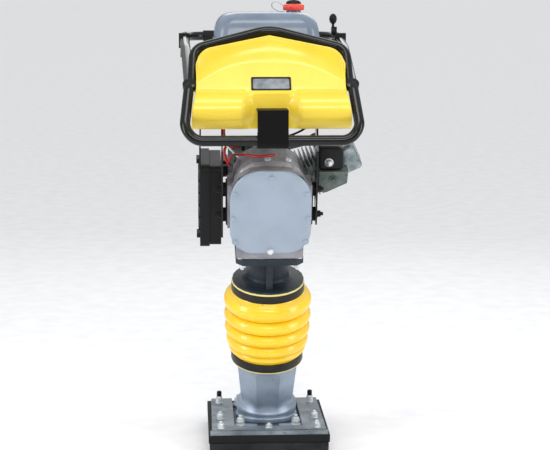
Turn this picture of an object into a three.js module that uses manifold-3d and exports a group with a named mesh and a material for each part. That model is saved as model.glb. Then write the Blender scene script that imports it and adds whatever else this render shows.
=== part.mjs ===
// A jumping jack rammer: a petrol engine drives a crank gear, the crank drives a spring-loaded ram,
// and the ram throws a laminated shoe at the ground. The machine leans forward on its foot.
//
// Millimetres, +Z up. The origin is the middle of the sole, on the ground.
// The operator stands on the +Y side; -Y is the front, where the crankcase cover is.
// Everything between the foot and the engine is drawn in the frame of the leaning leg:
// its Z runs up along the ram, its Y runs back along the crankshaft.
import * as THREE from 'three';
import * as BufferGeometryUtils from 'three/addons/utils/BufferGeometryUtils.js';
import Module from 'manifold-3d';

const wasm = await Module();
wasm.setup();

// ---- driving dimensions -------------------------------------------------------------------
const GAP = 0.3; // clearance between pieces that touch
const LEAN = THREE.MathUtils.degToRad(16); // forward lean of the leg
const LEG_FOOT = new THREE.Vector3(0, 10, 66); // where the leg's axis starts

const SOLE_WIDTH = 288;
const SOLE_LENGTH = 340;
const SOLE_THICK = 8;
const WOOD_TOP = 34;
const SLAB_TOP = 53;
const TRAY_TOP = 65;
const TRAY_HALF_WIDTH = 143;
const WING_INNER = 83; // half width of the opening between the tray's wings
const TRAY_FRONT = -162;
const TRAY_BACK = 146;
const FRONT_STRIP = 34;
const SHOE_BOLT_X = 117;
const SHOE_BOLT_Y = [-146, -60, 98];
const STUD_X = 68;
const STUD_Y = [-100, 104];

const LIP_RADIUS = 75; // round flange of the foot casting
const LIP_LOW = 13;
const LIP_HIGH = 33;
const COLUMN_LOW = 50; // eight-sided column, flat to flat radius at each end
const COLUMN_LOW_FLAT = 64;
const COLUMN_HIGH = 156;
const COLUMN_HIGH_FLAT = 74;
const SEAT_RADIUS = 75.5; // round seats that the bellows is clamped on
const SEAT_TOP = 184;
const CUFF_RADIUS = 84.5;
const BAND_RADIUS = 88;
const LOWER_BAND = [158.5, 180];
const UPPER_BAND = [347, 366];
const BELLOWS = [156.5, 371];
const BELLOWS_WALL = 4;
const CREASES = [186, 200, 230, 263, 298, 344];
const CREASE_RADIUS = 90;
const LOBE_RADII = [95, 101, 105, 106.5, 108.5];

const RAM_BORE = 40; // spring cylinder inside the foot
const RAM_OUTER = 46;
const RAM_BOTTOM = 62;
const RAM_TOP = 326;
const PISTON_LEVEL = 186;
const PISTON_THICK = 16;
const ROD_RADIUS = 12;
const FORK_BASE = 408;
const FORK_TOP = 512;

const GUIDE_DISC = [351, 374];
const GUIDE_DISC_RADIUS = 87;
const NECK_RADIUS = 50;
const NECK_BORE = 43;
const SLEEVE_BOTTOM = 235;
const FLANGE = [446, 462];
const FLANGE_HALF = 80.5;

const CASE_FRONT = -79.6;
const CASE_BACK = 48;
const CASE_WALL = 10;
const COVER_BACK = -81.4;
const COVER_FRONT = -91;
const COVER_HALF = 95;
const COVER_LOW = 482;
const COVER_HIGH = 692;
const MOUNT_LEVELS = [545, 610];
const MOUNT_FACE = 100; // side pads that the rubber mounts are bolted to
const BRACKET_FACE = 110;

const MODULE = 3; // gear module
const GEAR_TEETH = 40;
const PINION_TEETH = 12;
const SHAFT_LEVEL = 540; // engine crankshaft and pinion
const GEAR_LEVEL = SHAFT_LEVEL + MODULE * (GEAR_TEETH + PINION_TEETH) / 2;
const GEAR_FRONT = 18;
const GEAR_BACK = 34;
const THROW = 25; // crank pin offset
const ROD_LENGTH = 105; // between the connecting rod's eyes

const BLOCK = [100.6, 214]; // engine block along the crankshaft
const CYLINDER_TILT = THREE.MathUtils.degToRad(25);
const CYLINDER_BACK = 158; // cylinder centre along the crankshaft
const FAN_HOUSING = [218, 266];

const TUBE_RADIUS = 12;
const FRONT_BAR_Y = -330;
const FRONT_BAR_Z = 783;
const COLLAR = new THREE.Vector3(186, -252, 905);
const LOOP_REAR_Y = 410;
const LOOP_Z = 1000;
const BRIDGE = new THREE.Vector3(0, -150, 872); // cross tube that carries the handle frame

// ---- shape helpers ------------------------------------------------------------------------
function clean(geometry) {
  const bare = geometry.clone();
  bare.deleteAttribute('normal');
  bare.deleteAttribute('uv');
  return BufferGeometryUtils.mergeVertices(bare, 1e-4);
}

function toSolid(geometry) {
  const merged = clean(geometry);
  const vertProperties = new Float32Array(merged.attributes.position.array);
  const triVerts = new Uint32Array(merged.index.array);
  return new wasm.Manifold(new wasm.Mesh({ numProp: 3, vertProperties, triVerts }));
}

function toGeometry(solid) {
  const mesh = solid.getMesh();
  const geometry = new THREE.BufferGeometry();
  geometry.setAttribute('position', new THREE.BufferAttribute(new Float32Array(mesh.vertProperties), 3));
  geometry.setIndex(Array.from(mesh.triVerts));
  return geometry;
}

function join(...geometries) {
  const whole = geometries.map(toSolid).reduce((sum, piece) => sum.add(piece));
  return toGeometry(whole);
}

function cut(geometry, ...tools) {
  const rest = tools.map(toSolid).reduce((left, tool) => left.subtract(tool), toSolid(geometry));
  return toGeometry(rest);
}

function overlap(geometry, other) {
  return toGeometry(toSolid(geometry).intersect(toSolid(other)));
}

// A box given by its lowest and highest corner.
function box(low, high) {
  const size = high.map((value, axis) => value - low[axis]);
  const middle = high.map((value, axis) => (value + low[axis]) / 2);
  return new THREE.BoxGeometry(...size).translate(...middle);
}

// A round bar along X, Y or Z, from start to end on that axis, through the point (across, along).
function bar(axis, radius, start, end, across, sides = 12) {
  const geometry = new THREE.CylinderGeometry(radius, radius, end - start, sides);
  const middle = (start + end) / 2;
  if (axis === 'x') {
    return geometry.rotateZ(-Math.PI / 2).translate(middle, across[0], across[1]);
  }
  if (axis === 'y') {
    return geometry.translate(across[0], middle, across[1]);
  }
  return geometry.rotateX(Math.PI / 2).translate(across[0], across[1], middle);
}

function hexagon(axis, radius, start, end, across) {
  return bar(axis, radius, start, end, across, 6);
}

// A body of revolution about Z from [radius, z] pairs; the profile closes on itself.
function turned(profile, sides = 24) {
  const points = [...profile, profile[0]].map(([radius, z]) => new THREE.Vector2(radius, z));
  return new THREE.LatheGeometry(points, sides).rotateX(Math.PI / 2);
}

function ring(outer, inner, low, high, sides = 24) {
  return turned([[inner, low], [outer, low], [outer, high], [inner, high]], sides);
}

// A ring whose axis is parallel to Y.
function ringY(outer, inner, front, back, x, z, sides = 20) {
  return ring(outer, inner, -back, -front, sides).rotateX(Math.PI / 2).translate(x, 0, z);
}

// A plate cut from an outline in X and Z, with its thickness along Y.
function plateY(shape, front, back, bevel = 0) {
  const options = {
    depth: back - front - bevel,
    bevelEnabled: bevel > 0,
    bevelThickness: bevel,
    bevelSize: bevel,
    bevelOffset: -bevel,
    bevelSegments: 1,
    curveSegments: 4,
  };
  const plate = new THREE.ExtrudeGeometry(shape, options);
  if (bevel > 0) {
    const low = box([-2000, -2000, -2 * bevel - 1], [2000, 2000, 0]);
    const flat = cut(plate.translate(0, 0, 0), low);
    return flat.rotateX(Math.PI / 2).translate(0, back, 0);
  }
  return plate.rotateX(Math.PI / 2).translate(0, back, 0);
}

// A plate cut from an outline in Y and Z, with its thickness along X.
function plateX(shape, left, right) {
  const options = { depth: right - left, bevelEnabled: false, curveSegments: 4 };
  const plate = new THREE.ExtrudeGeometry(shape, options);
  return plate.rotateX(Math.PI / 2).rotateZ(Math.PI / 2).translate(left, 0, 0);
}

// A plate cut from an outline in X and Y, with its thickness along Z.
function plateZ(shape, low, high) {
  const options = { depth: high - low, bevelEnabled: false, curveSegments: 4 };
  const plate = new THREE.ExtrudeGeometry(shape, options);
  return plate.translate(0, 0, low);
}

function outline(points) {
  return new THREE.Shape(points.map(([across, up]) => new THREE.Vector2(across, up)));
}

// A rectangle with round corners; low and high radii may differ.
function roundRect(left, right, low, high, lowRadius, highRadius = lowRadius) {
  const shape = new THREE.Shape();
  shape.moveTo(left + lowRadius, low);
  shape.lineTo(right - lowRadius, low);
  shape.quadraticCurveTo(right, low, right, low + lowRadius);
  shape.lineTo(right, high - highRadius);
  shape.quadraticCurveTo(right, high, right - highRadius, high);
  shape.lineTo(left + highRadius, high);
  shape.quadraticCurveTo(left, high, left, high - highRadius);
  shape.lineTo(left, low + lowRadius);
  shape.quadraticCurveTo(left, low, left + lowRadius, low);
  return shape;
}

// A tube bent through corner points, each corner rounded by its own radius.
class BentPath extends THREE.CurvePath {
  constructor(corners, bend) {
    super();
    let start = corners[0];
    for (let index = 1; index < corners.length - 1; index += 1) {
      const corner = corners[index];
      const before = corner.clone().sub(corners[index - 1]);
      const after = corners[index + 1].clone().sub(corner);
      const reach = Math.min(bend, before.length() * 0.45, after.length() * 0.45);
      const enter = corner.clone().sub(before.setLength(reach));
      const leave = corner.clone().add(after.setLength(reach));
      this.add(new THREE.LineCurve3(start, enter));
      this.add(new THREE.QuadraticBezierCurve3(enter, corner, leave));
      start = leave;
    }
    this.add(new THREE.LineCurve3(start, corners[corners.length - 1]));
  }
}

function circle(radius, sides) {
  const points = [];
  for (let side = 0; side < sides; side += 1) {
    const angle = (side / sides) * 2 * Math.PI;
    points.push(new THREE.Vector2(radius * Math.cos(angle), radius * Math.sin(angle)));
  }
  return new THREE.Shape(points);
}

function tube(corners, radius, bend, steps, sides = 12) {
  const path = new BentPath(corners.map((point) => new THREE.Vector3(...point)), bend);
  return new THREE.ExtrudeGeometry(circle(radius, sides), { steps, extrudePath: path, bevelEnabled: false });
}

function hose(points, radius, steps, sides = 8) {
  const path = new THREE.CatmullRomCurve3(points.map((point) => new THREE.Vector3(...point)));
  return new THREE.ExtrudeGeometry(circle(radius, sides), { steps, extrudePath: path, bevelEnabled: false });
}

function mirrored(points) {
  return points.map(([x, y, z]) => [-x, y, z]);
}

// ---- frames and nodes ---------------------------------------------------------------------
const rammer = new THREE.Group();
const leg = new THREE.Group();
leg.position.copy(LEG_FOOT);
leg.rotation.x = LEAN;
leg.updateMatrixWorld(true);
rammer.add(leg);

const groundToLeg = leg.matrixWorld.clone().invert();

// Brings a shape drawn in the ground frame into the leg's frame.
function level(geometry) {
  return geometry.clone().applyMatrix4(groundToLeg);
}

function finish(color, roughness, metalness) {
  return { color, roughness, metalness };
}

const CAST = finish(0x9aa6b2, 0.45, 0.6);
const CAST_PALE = finish(0xb7c4d3, 0.5, 0.4);
const SLATE = finish(0x2c333b, 0.5, 0.2);
const BLACK_PAINT = finish(0x141619, 0.35, 0.3);
const BLACK_PLASTIC = finish(0x15171a, 0.6, 0);
const YELLOW = finish(0xf2cf2e, 0.4, 0);
const STEEL = finish(0xc4c8cc, 0.3, 1);
const DARK_STEEL = finish(0x5a5f66, 0.45, 0.8);
const GREY_PAINT = finish(0x5c666e, 0.5, 0.3);
const WOOD = finish(0x3b2a20, 0.8, 0);
const RUBBER = finish(0x1b1b1d, 0.9, 0);
const OLIVE = finish(0x5f6a66, 0.5, 0.5);
const RED = finish(0xd8331f, 0.4, 0);
const TANK_GREY = finish(0x8b9bb0, 0.45, 0);

function node(parent, name, geometry, look) {
  const mesh = new THREE.Mesh(clean(geometry), new THREE.MeshStandardMaterial(look));
  mesh.name = name;
  parent.add(mesh);
  return mesh;
}

// ---- shoe ---------------------------------------------------------------------------------
// The steel sole curls up at both ends like a ski.
function solePlate() {
  const half = SOLE_LENGTH / 2;
  const curl = 34;
  const profile = outline([
    [-half - 4, curl], [-half, 14], [-half + 16, 0], [half - 16, 0], [half, 14], [half + 4, curl],
    [half - 5, curl], [half - 8, 16], [half - 19, SOLE_THICK], [-half + 19, SOLE_THICK], [-half + 8, 16],
    [-half + 5, curl],
  ]);
  return plateX(profile, -SOLE_WIDTH / 2, SOLE_WIDTH / 2);
}

function woodBlock() {
  const half = SOLE_LENGTH / 2;
  const top = WOOD_TOP - GAP;
  const low = SOLE_THICK + GAP;
  const profile = outline([
    [-half + 19.4, low], [half - 19.4, low], [half - 8.4, 16.4], [half - 5.6, top], [-half + 5.6, top],
    [-half + 8.4, 16.4],
  ]);
  return plateX(profile, -SOLE_WIDTH / 2 + 2, SOLE_WIDTH / 2 - 2);
}

// The backing bars of the shoe bolts: one under each wing of the tray, joined at the front.
function backingBars(margin, low, high) {
  const bars = [-1, 1].map((side) => {
    const middle = side * SHOE_BOLT_X;
    const front = TRAY_FRONT + 5 - margin;
    return box([middle - 12 - margin, front, low], [middle + 12 + margin, 112 + margin, high]);
  });
  const crossbar = box(
    [-SHOE_BOLT_X, TRAY_FRONT + 5 - margin, low], [SHOE_BOLT_X, TRAY_FRONT + 29 + margin, high],
  );
  return join(...bars, crossbar);
}

function cushionSlab() {
  const slab = box([-147, -172, WOOD_TOP + 0.4], [147, 168, SLAB_TOP]);
  const groove = backingBars(1, SLAB_TOP - 7, SLAB_TOP + 1);
  const seatHalf = WING_INNER - 1;
  const seatFront = TRAY_FRONT + FRONT_STRIP;
  const studSeat = box([-seatHalf, seatFront, SLAB_TOP - 7], [seatHalf, 130, SLAB_TOP + 1]);
  return cut(slab, groove, studSeat);
}

// Seven bolts stand on the backing bars and clamp the tray down.
function shoeBoltSpots() {
  const spots = [[0, TRAY_FRONT + 17, 0]];
  for (const side of [-1, 1]) {
    SHOE_BOLT_Y.forEach((y, index) => {
      const extra = index === SHOE_BOLT_Y.length - 1 ? 12 : 4;
      spots.push([side * SHOE_BOLT_X, y, extra]);
    });
  }
  return spots;
}

function shoeBolts() {
  const pieces = [backingBars(0, SLAB_TOP - 6.6, SLAB_TOP - GAP)];
  for (const [x, y, extra] of shoeBoltSpots()) {
    pieces.push(bar('z', 6, SLAB_TOP - 2, TRAY_TOP + 12 + extra, [x, y], 8));
    pieces.push(bar('z', 12, TRAY_TOP + GAP, TRAY_TOP + 3, [x, y], 8));
    pieces.push(hexagon('z', 10, TRAY_TOP + 2.8, TRAY_TOP + 12, [x, y]));
  }
  return join(...pieces);
}

// A steel tray, open at the back, clamps the layers of the shoe together.
function shoeTray() {
  const u = outline([
    [-TRAY_HALF_WIDTH + 4, TRAY_FRONT], [TRAY_HALF_WIDTH - 4, TRAY_FRONT], [TRAY_HALF_WIDTH - 6, TRAY_BACK],
    [WING_INNER, TRAY_BACK], [WING_INNER, TRAY_FRONT + FRONT_STRIP], [-WING_INNER, TRAY_FRONT + FRONT_STRIP],
    [-WING_INNER, TRAY_BACK], [-TRAY_HALF_WIDTH + 6, TRAY_BACK],
  ]);
  const tray = plateZ(u, SLAB_TOP + GAP, TRAY_TOP);
  const half = TRAY_HALF_WIDTH;
  const apron = box([-half, TRAY_FRONT - 8, SLAB_TOP + GAP], [half, TRAY_FRONT + 2, TRAY_TOP - 2]);
  const holes = shoeBoltSpots().map(([x, y]) => bar('z', 7, SLAB_TOP - 5, TRAY_TOP + 5, [x, y], 8));
  return cut(join(tray, apron), ...holes);
}

// A steel plate let into the slab carries the four studs that hold the foot casting.
function studPlate() {
  const pieces = [box([-WING_INNER + 1.4, -127, SLAB_TOP - 6.6], [WING_INNER - 1.4, 129, SLAB_TOP + 2])];
  for (const x of [-STUD_X, STUD_X]) {
    for (const y of STUD_Y) {
      pieces.push(bar('z', 6, SLAB_TOP, TRAY_TOP + 25, [x, y], 8));
      pieces.push(bar('z', 12.5, TRAY_TOP + 4, TRAY_TOP + 6.5, [x, y], 12));
      pieces.push(hexagon('z', 10.5, TRAY_TOP + 6, TRAY_TOP + 17, [x, y]));
    }
  }
  return join(...pieces);
}

// ---- foot ---------------------------------------------------------------------------------
function eightSided(low, high, lowFlat, highFlat) {
  const corner = 1 / Math.cos(Math.PI / 8);
  const column = new THREE.CylinderGeometry(highFlat * corner, lowFlat * corner, high - low, 8);
  return column.rotateX(Math.PI / 2).rotateZ(Math.PI / 8).translate(0, 0, (low + high) / 2);
}

// The casting: a flat base with four ears, a wedge up to the round flange, and the column.
function footCasting() {
  const baseLow = SLAB_TOP + 2.4;
  const baseHigh = TRAY_TOP + 3.6;
  const base = level(box([-46, -112, baseLow], [46, 120, baseHigh]));
  const ears = [];
  const studHoles = [];
  for (const x of [-STUD_X, STUD_X]) {
    for (const y of STUD_Y) {
      ears.push(level(bar('z', 14, baseLow, baseHigh, [x, y], 14)));
      const sides = [Math.min(x, x * 0.4), Math.max(x, x * 0.4)];
      ears.push(level(box([sides[0], y - 12, baseLow], [sides[1], y + 12, baseHigh])));
      studHoles.push(level(bar('z', 7, baseLow - 5, baseHigh + 5, [x, y], 8)));
    }
  }
  const skirt = bar('z', LIP_RADIUS - 3, -70, LIP_LOW + 2, [0, 0], 24);
  const flange = turned([
    [0.5, LIP_LOW], [LIP_RADIUS, LIP_LOW], [LIP_RADIUS, LIP_LOW + 8], [LIP_RADIUS - 2, LIP_LOW + 10],
    [LIP_RADIUS - 1, LIP_HIGH], [COLUMN_LOW_FLAT - 1, COLUMN_LOW + 4], [0.5, COLUMN_LOW + 4],
  ], 24);
  const core = bar('z', 30, LIP_LOW, COLUMN_LOW + 6, [0, 0], 16);
  const column = eightSided(COLUMN_LOW - 8, COLUMN_HIGH, COLUMN_LOW_FLAT, COLUMN_HIGH_FLAT);
  const seat = bar('z', SEAT_RADIUS, COLUMN_HIGH - 4, SEAT_TOP, [0, 0], 24);
  const whole = join(base, ...ears, skirt, core, flange, column, seat);
  const below = level(box([-200, -300, -200], [200, 300, baseLow]));
  const bore = bar('z', RAM_OUTER + 1.2, RAM_BOTTOM - GAP, SEAT_TOP + 10, [0, 0], 20);
  return cut(whole, below, bore, ...studHoles);
}

// Five folds between two plain cuffs; the inside is left straight.
function bellowsProfile() {
  const last = CREASES.length - 1;
  const bore = SEAT_RADIUS + GAP;
  const outside = [[CUFF_RADIUS, BELLOWS[0]], [CUFF_RADIUS, CREASES[0] - 5]];
  for (let fold = 0; fold < last; fold += 1) {
    const middle = (CREASES[fold] + CREASES[fold + 1]) / 2;
    outside.push([CREASE_RADIUS, CREASES[fold]], [LOBE_RADII[fold], middle]);
  }
  outside.push([CUFF_RADIUS, CREASES[last] + 2.5], [CUFF_RADIUS, BELLOWS[1]]);
  return [
    ...outside, [bore, BELLOWS[1]], [bore, CREASES[last] + 6],
    [CREASE_RADIUS - BELLOWS_WALL, CREASES[last]],
    [CREASE_RADIUS - BELLOWS_WALL, CREASES[0] + 2], [bore, CREASES[0] - 2], [bore, BELLOWS[0]]];
}

function bellows() {
  return turned(bellowsProfile(), 24);
}

// A clamp band with its screw lug at the back.
function clampBand([low, high]) {
  const band = ring(BAND_RADIUS, CUFF_RADIUS + 0.6, low, high, 24);
  const lug = box([-9, BAND_RADIUS - 2, low + 3], [9, BAND_RADIUS + 12, high - 3]);
  const screw = bar('x', 3.5, -15, 15, [BAND_RADIUS + 6, (low + high) / 2], 10);
  return join(band, lug, screw);
}

function springCylinder() {
  return turned([
    [14, RAM_BOTTOM], [RAM_OUTER, RAM_BOTTOM], [RAM_OUTER, RAM_TOP], [ROD_RADIUS + 1, RAM_TOP],
    [ROD_RADIUS + 1, RAM_TOP - 8], [RAM_BORE, RAM_TOP - 8], [RAM_BORE, RAM_BOTTOM + 8], [14, RAM_BOTTOM + 8],
  ], 24);
}

class Coil extends THREE.Curve {
  constructor(radius, low, high, turns) {
    super();
    this.radius = radius;
    this.low = low;
    this.high = high;
    this.turns = turns;
  }

  getPoint(t) {
    const angle = t * this.turns * 2 * Math.PI;
    const z = this.low + (this.high - this.low) * t;
    return new THREE.Vector3(this.radius * Math.cos(angle), this.radius * Math.sin(angle), z);
  }
}

function spring(low, high, turns) {
  const wire = 4;
  const path = new Coil(32, low + wire + 1, high - wire - 1, turns);
  const options = { steps: turns * 7, extrudePath: path, bevelEnabled: false };
  return new THREE.ExtrudeGeometry(circle(wire, 6), options);
}

// The rod is open at the top as a fork; the connecting rod's eye moves between its cheeks.
function pistonRod() {
  const head = bar('z', RAM_BORE - 0.6, PISTON_LEVEL, PISTON_LEVEL + PISTON_THICK, [0, 0], 24);
  const nut = hexagon('z', 15, PISTON_LEVEL - 14, PISTON_LEVEL + 1, [0, 0]);
  const shank = bar('z', ROD_RADIUS, PISTON_LEVEL + PISTON_THICK - 1, FORK_BASE + 2, [0, 0], 16);
  const base = box([-15, -16, FORK_BASE], [15, 16, FORK_BASE + 14]);
  const frontCheek = box([-15, -16, FORK_BASE + 12], [15, -8.5, FORK_TOP]);
  const backCheek = box([-15, 8.5, FORK_BASE + 12], [15, 16, FORK_TOP]);
  return join(head, nut, shank, base, frontCheek, backCheek);
}

// ---- guide and crankcase ------------------------------------------------------------------
// One dark casting: top flange, neck, disc for the bellows, and the guide sleeve inside it.
function guideCylinder() {
  const body = turned([
    [NECK_BORE, FLANGE[0] + 2], [NECK_BORE, GUIDE_DISC[1]], [52, GUIDE_DISC[1] - 3], [52, SLEEVE_BOTTOM],
    [60, SLEEVE_BOTTOM], [60, GUIDE_DISC[0]], [SEAT_RADIUS, GUIDE_DISC[0]], [SEAT_RADIUS, BELLOWS[1] + 0.5],
    [GUIDE_DISC_RADIUS, BELLOWS[1] + 0.5], [GUIDE_DISC_RADIUS, GUIDE_DISC[1] + 2], [62, GUIDE_DISC[1] + 4],
    [NECK_RADIUS + 2, GUIDE_DISC[1] + 9], [NECK_RADIUS, GUIDE_DISC[1] + 16], [NECK_RADIUS, FLANGE[0] + 2],
  ], 24);
  const half = FLANGE_HALF;
  const corner = 16;
  const square = outline([
    [-half + corner, -half], [half - corner, -half], [half, -half + corner], [half, half - corner],
    [half - corner, half], [-half + corner, half], [-half, half - corner], [-half, -half + corner],
  ]);
  const plate = plateZ(square, FLANGE[0], FLANGE[1] - GAP);
  const bore = bar('z', NECK_BORE, FLANGE[0] - 1, FLANGE[1] + 1, [0, 0], 24);
  const ribs = [-1, 1].map((side) => box(
    [-8, side > 0 ? NECK_RADIUS - 3 : -72, GUIDE_DISC[1] - 2],
    [8, side > 0 ? 72 : -NECK_RADIUS + 3, FLANGE[0] + 1],
  ));
  const holes = [];
  for (const x of [-65, 65]) {
    for (const y of [-68, 68]) {
      holes.push(bar('z', 6, FLANGE[0] - 5, FLANGE[1] + 5, [x, y], 8));
    }
  }
  return cut(join(body, cut(plate, bore), ...ribs), ...holes);
}

// Four studs welded to a thin plate under the crankcase hold the guide cylinder's flange.
function flangeStuds() {
  const plate = box([-76, -76, FLANGE[1]], [76, 74, FLANGE[1] + 2]);
  const bore = bar('z', NECK_BORE, FLANGE[1] - 5, FLANGE[1] + 5, [0, 0], 20);
  const studs = [];
  for (const x of [-65, 65]) {
    for (const y of [-68, 68]) {
      studs.push(bar('z', 5, FLANGE[0] - 14, FLANGE[1] + 1, [x, y], 8));
      studs.push(hexagon('z', 9, FLANGE[0] - 8, FLANGE[0] - GAP, [x, y]));
    }
  }
  return join(cut(plate, bore), ...studs);
}

function caseOutline(inset) {
  return roundRect(
    -COVER_HALF + inset, COVER_HALF - inset, COVER_LOW + inset, COVER_HIGH - inset, 62 - inset, 78 - inset,
  );
}

function crankcase() {
  const rim = plateY(caseOutline(0), CASE_FRONT, -57);
  const barrel = plateY(roundRect(-88, 88, 478, 702, 50, 84), -60, CASE_BACK, 12);
  const skirt = box([-79, -77, FLANGE[1] + 2.4], [79, 43, 523]);
  const pads = [-1, 1].map((side) => {
    const inner = side * 80;
    const outer = side * MOUNT_FACE;
    return box([Math.min(inner, outer), -34, 524], [Math.max(inner, outer), 34, 632]);
  });
  const cheeks = plateY(roundRect(-97, 97, 552, 614, 12, 12), -46, 36);
  const room = plateY(roundRect(-78, 78, 490, 684, 40, 66), -100, CASE_BACK - CASE_WALL);
  const neck = bar('z', NECK_BORE + 1, 440, 512, [0, 0], 24);
  const gearHole = bar('y', 22.5, 20, 60, [0, GEAR_LEVEL], 20);
  const shaftHole = bar('y', 17.5, 20, 60, [0, SHAFT_LEVEL], 20);
  return cut(join(rim, barrel, skirt, ...pads, cheeks), room, neck, gearHole, shaftHole);
}

function coverBoltSpots() {
  return [[0, 681], [-85, 640], [85, 640], [-88.5, 574], [88.5, 574], [-85, 516], [85, 516], [0, 487]];
}

// The flat cover, with a boss and a bolt head at eight places.
function crankcaseCover() {
  const plate = plateY(caseOutline(0.5), COVER_FRONT, COVER_BACK);
  const bolts = coverBoltSpots().map((spot) => (
    hexagon('y', 5.2, COVER_FRONT - 4.5, COVER_FRONT + 1, spot)
  ));
  return join(plate, ...bolts);
}

function coverGasket() {
  const sheet = plateY(caseOutline(1.5), COVER_BACK + GAP, CASE_FRONT - GAP);
  const window = plateY(roundRect(-78, 78, 490, 684, 40, 66), -100, -60);
  return cut(sheet, window);
}

function gearOutline(teeth, phase) {
  const pitchRadius = MODULE * teeth / 2;
  const root = pitchRadius - 1.3 * MODULE;
  const tip = pitchRadius + 0.85 * MODULE;
  const pitch = 2 * Math.PI / teeth;
  const points = [];
  for (let tooth = 0; tooth < teeth; tooth += 1) {
    const middle = (tooth + phase) * pitch;
    for (const [radius, across] of [[root, -0.25], [tip, -0.1], [tip, 0.1], [root, 0.25]]) {
      const angle = middle + across * pitch;
      points.push([radius * Math.cos(angle), radius * Math.sin(angle)]);
    }
  }
  return outline(points);
}

// The crank gear carries the crank pin on its front face and its own shaft at the back.
function crankGear() {
  const wheel = plateY(gearOutline(GEAR_TEETH, 0), GEAR_FRONT, GEAR_BACK);
  const shaft = bar('y', 14, GEAR_BACK - 2, CASE_BACK - 1, [0, 0], 16);
  const pin = bar('y', 11, -10, GEAR_FRONT + 1, [0, -THROW], 16);
  const collar = bar('y', 16, -12, -8, [0, -THROW], 16);
  return join(wheel, shaft, pin, collar).translate(0, 0, GEAR_LEVEL);
}

// Both shaft bearings sit in one retaining plate on the rear wall of the crankcase.
function shaftBearings() {
  const gearRace = ringY(22, 14.4, 36.6, 47.6, 0, GEAR_LEVEL, 20);
  const shaftRace = ringY(17, 9.4, 36.6, 47.6, 0, SHAFT_LEVEL, 20);
  const strap = box([-9, 35.4, SHAFT_LEVEL + 12], [9, 37.6, GEAR_LEVEL - 17]);
  return join(gearRace, shaftRace, strap);
}

function connectingRod() {
  const top = GEAR_LEVEL - THROW;
  const low = top - ROD_LENGTH;
  const bigEye = ringY(20, 11.5, -7, 7, 0, top, 20);
  const smallEye = bar('y', 13, -7, 7, [0, low], 16);
  const pin = bar('y', 6.7, -7.8, 7.8, [0, low], 12);
  const shank = box([-6, -5, low + 9], [6, 5, top - 15]);
  return join(bigEye, smallEye, pin, shank);
}

function pinionGear() {
  const wheel = plateY(gearOutline(PINION_TEETH, 0.5), GEAR_FRONT, GEAR_BACK);
  const shaft = bar('y', 9, GEAR_BACK - 2, 58, [0, 0], 12);
  return join(wheel, shaft).translate(0, 0, SHAFT_LEVEL);
}

function clutchDrum() {
  const cup = ringY(50, 46, 62, 94, 0, SHAFT_LEVEL, 20);
  const web = ringY(48, 9, 58.3, 64, 0, SHAFT_LEVEL, 20);
  return join(cup, web);
}

// ---- engine -------------------------------------------------------------------------------
// Along the cylinder: local X of a shape turned about the crankshaft by the cylinder's tilt.
function onCylinder(geometry) {
  return geometry.rotateY(-CYLINDER_TILT).translate(0, CYLINDER_BACK, SHAFT_LEVEL);
}

function engineBlock() {
  const body = plateY(roundRect(-72, 66, SHAFT_LEVEL - 72, SHAFT_LEVEL + 66, 26, 40), BLOCK[0], BLOCK[1]);
  const sump = box([-68, BLOCK[0] + 6, SHAFT_LEVEL - 82], [60, BLOCK[1] - 6, SHAFT_LEVEL - 60]);
  const collar = onCylinder(box([30, -42, -42], [76, 42, 42]));
  const housing = bar('y', 66, CASE_BACK + GAP, BLOCK[0] + 1, [0, SHAFT_LEVEL], 20);
  const ears = [45, 135, 225, 315].map((turn) => {
    const angle = THREE.MathUtils.degToRad(turn);
    const across = [66 * Math.cos(angle), SHAFT_LEVEL + 66 * Math.sin(angle)];
    return bar('y', 9, BLOCK[0] - 14, BLOCK[0] + 1, across, 10);
  });
  const clutchRoom = bar('y', 56, CASE_BACK - 1, BLOCK[0] - 4, [0, SHAFT_LEVEL], 20);
  const shaftHole = bar('y', 12, BLOCK[0] - 10, BLOCK[1] + 10, [0, SHAFT_LEVEL], 16);
  return cut(join(body, sump, collar, housing, ...ears), clutchRoom, shaftHole);
}

// Barrel and head in one aluminium casting with cooling fins.
function cylinderBarrel() {
  const pieces = [onCylinder(bar('x', 34, 76.5, 186, [0, 0], 16))];
  for (let fin = 0; fin < 7; fin += 1) {
    const start = 81 + fin * 10;
    pieces.push(onCylinder(box([start, -46, -50], [start + 2.6, 46, 50])));
  }
  pieces.push(onCylinder(box([150, -40, -46], [186, 40, 46])));
  pieces.push(onCylinder(box([185, -44, -50], [192, 44, 50])));
  return join(...pieces);
}

function valveCover() {
  const shape = roundRect(-36, 36, -34, 34, 12);
  const options = {
    depth: 34, curveSegments: 4,
    bevelEnabled: true, bevelThickness: 8, bevelSize: 8, bevelOffset: -8, bevelSegments: 2,
  };
  const lid = new THREE.ExtrudeGeometry(shape, options).rotateX(Math.PI / 2).rotateZ(Math.PI / 2);
  lid.computeBoundingBox();
  const standing = lid.translate(4 - lid.boundingBox.min.x, 0, 0);
  const rim = box([0, -40, -38], [6, 40, 38]);
  const behind = box([-40, -80, -80], [0, 80, 80]);
  return onCylinder(cut(join(standing, rim), behind).translate(192.3, 0, 0));
}

function sparkPlug() {
  const body = bar('z', 7, 46.4, 66, [168, -30], 10);
  const boot = bar('z', 10, 62, 96, [168, -30], 12);
  const elbow = bar('x', 7.5, 150, 172, [-30, 88], 10);
  return onCylinder(join(body, boot, elbow));
}

// The muffler hangs in front of the cylinder head, with its exhaust stub against the fins.
function muffler() {
  const shell = outline([[124, 574], [142, 574], [192, 598], [194, 628], [124, 628]]);
  const body = plateY(shell, 62, 106);
  const spot = [158, 606];
  const boss = bar('y', 11, 59, 64, spot, 18);
  const bolt = hexagon('y', 6.5, 54.5, 60, spot);
  const stub = bar('y', 10, 104, 111.7, [150, 604], 16);
  return join(body, boss, bolt, stub);
}

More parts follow.
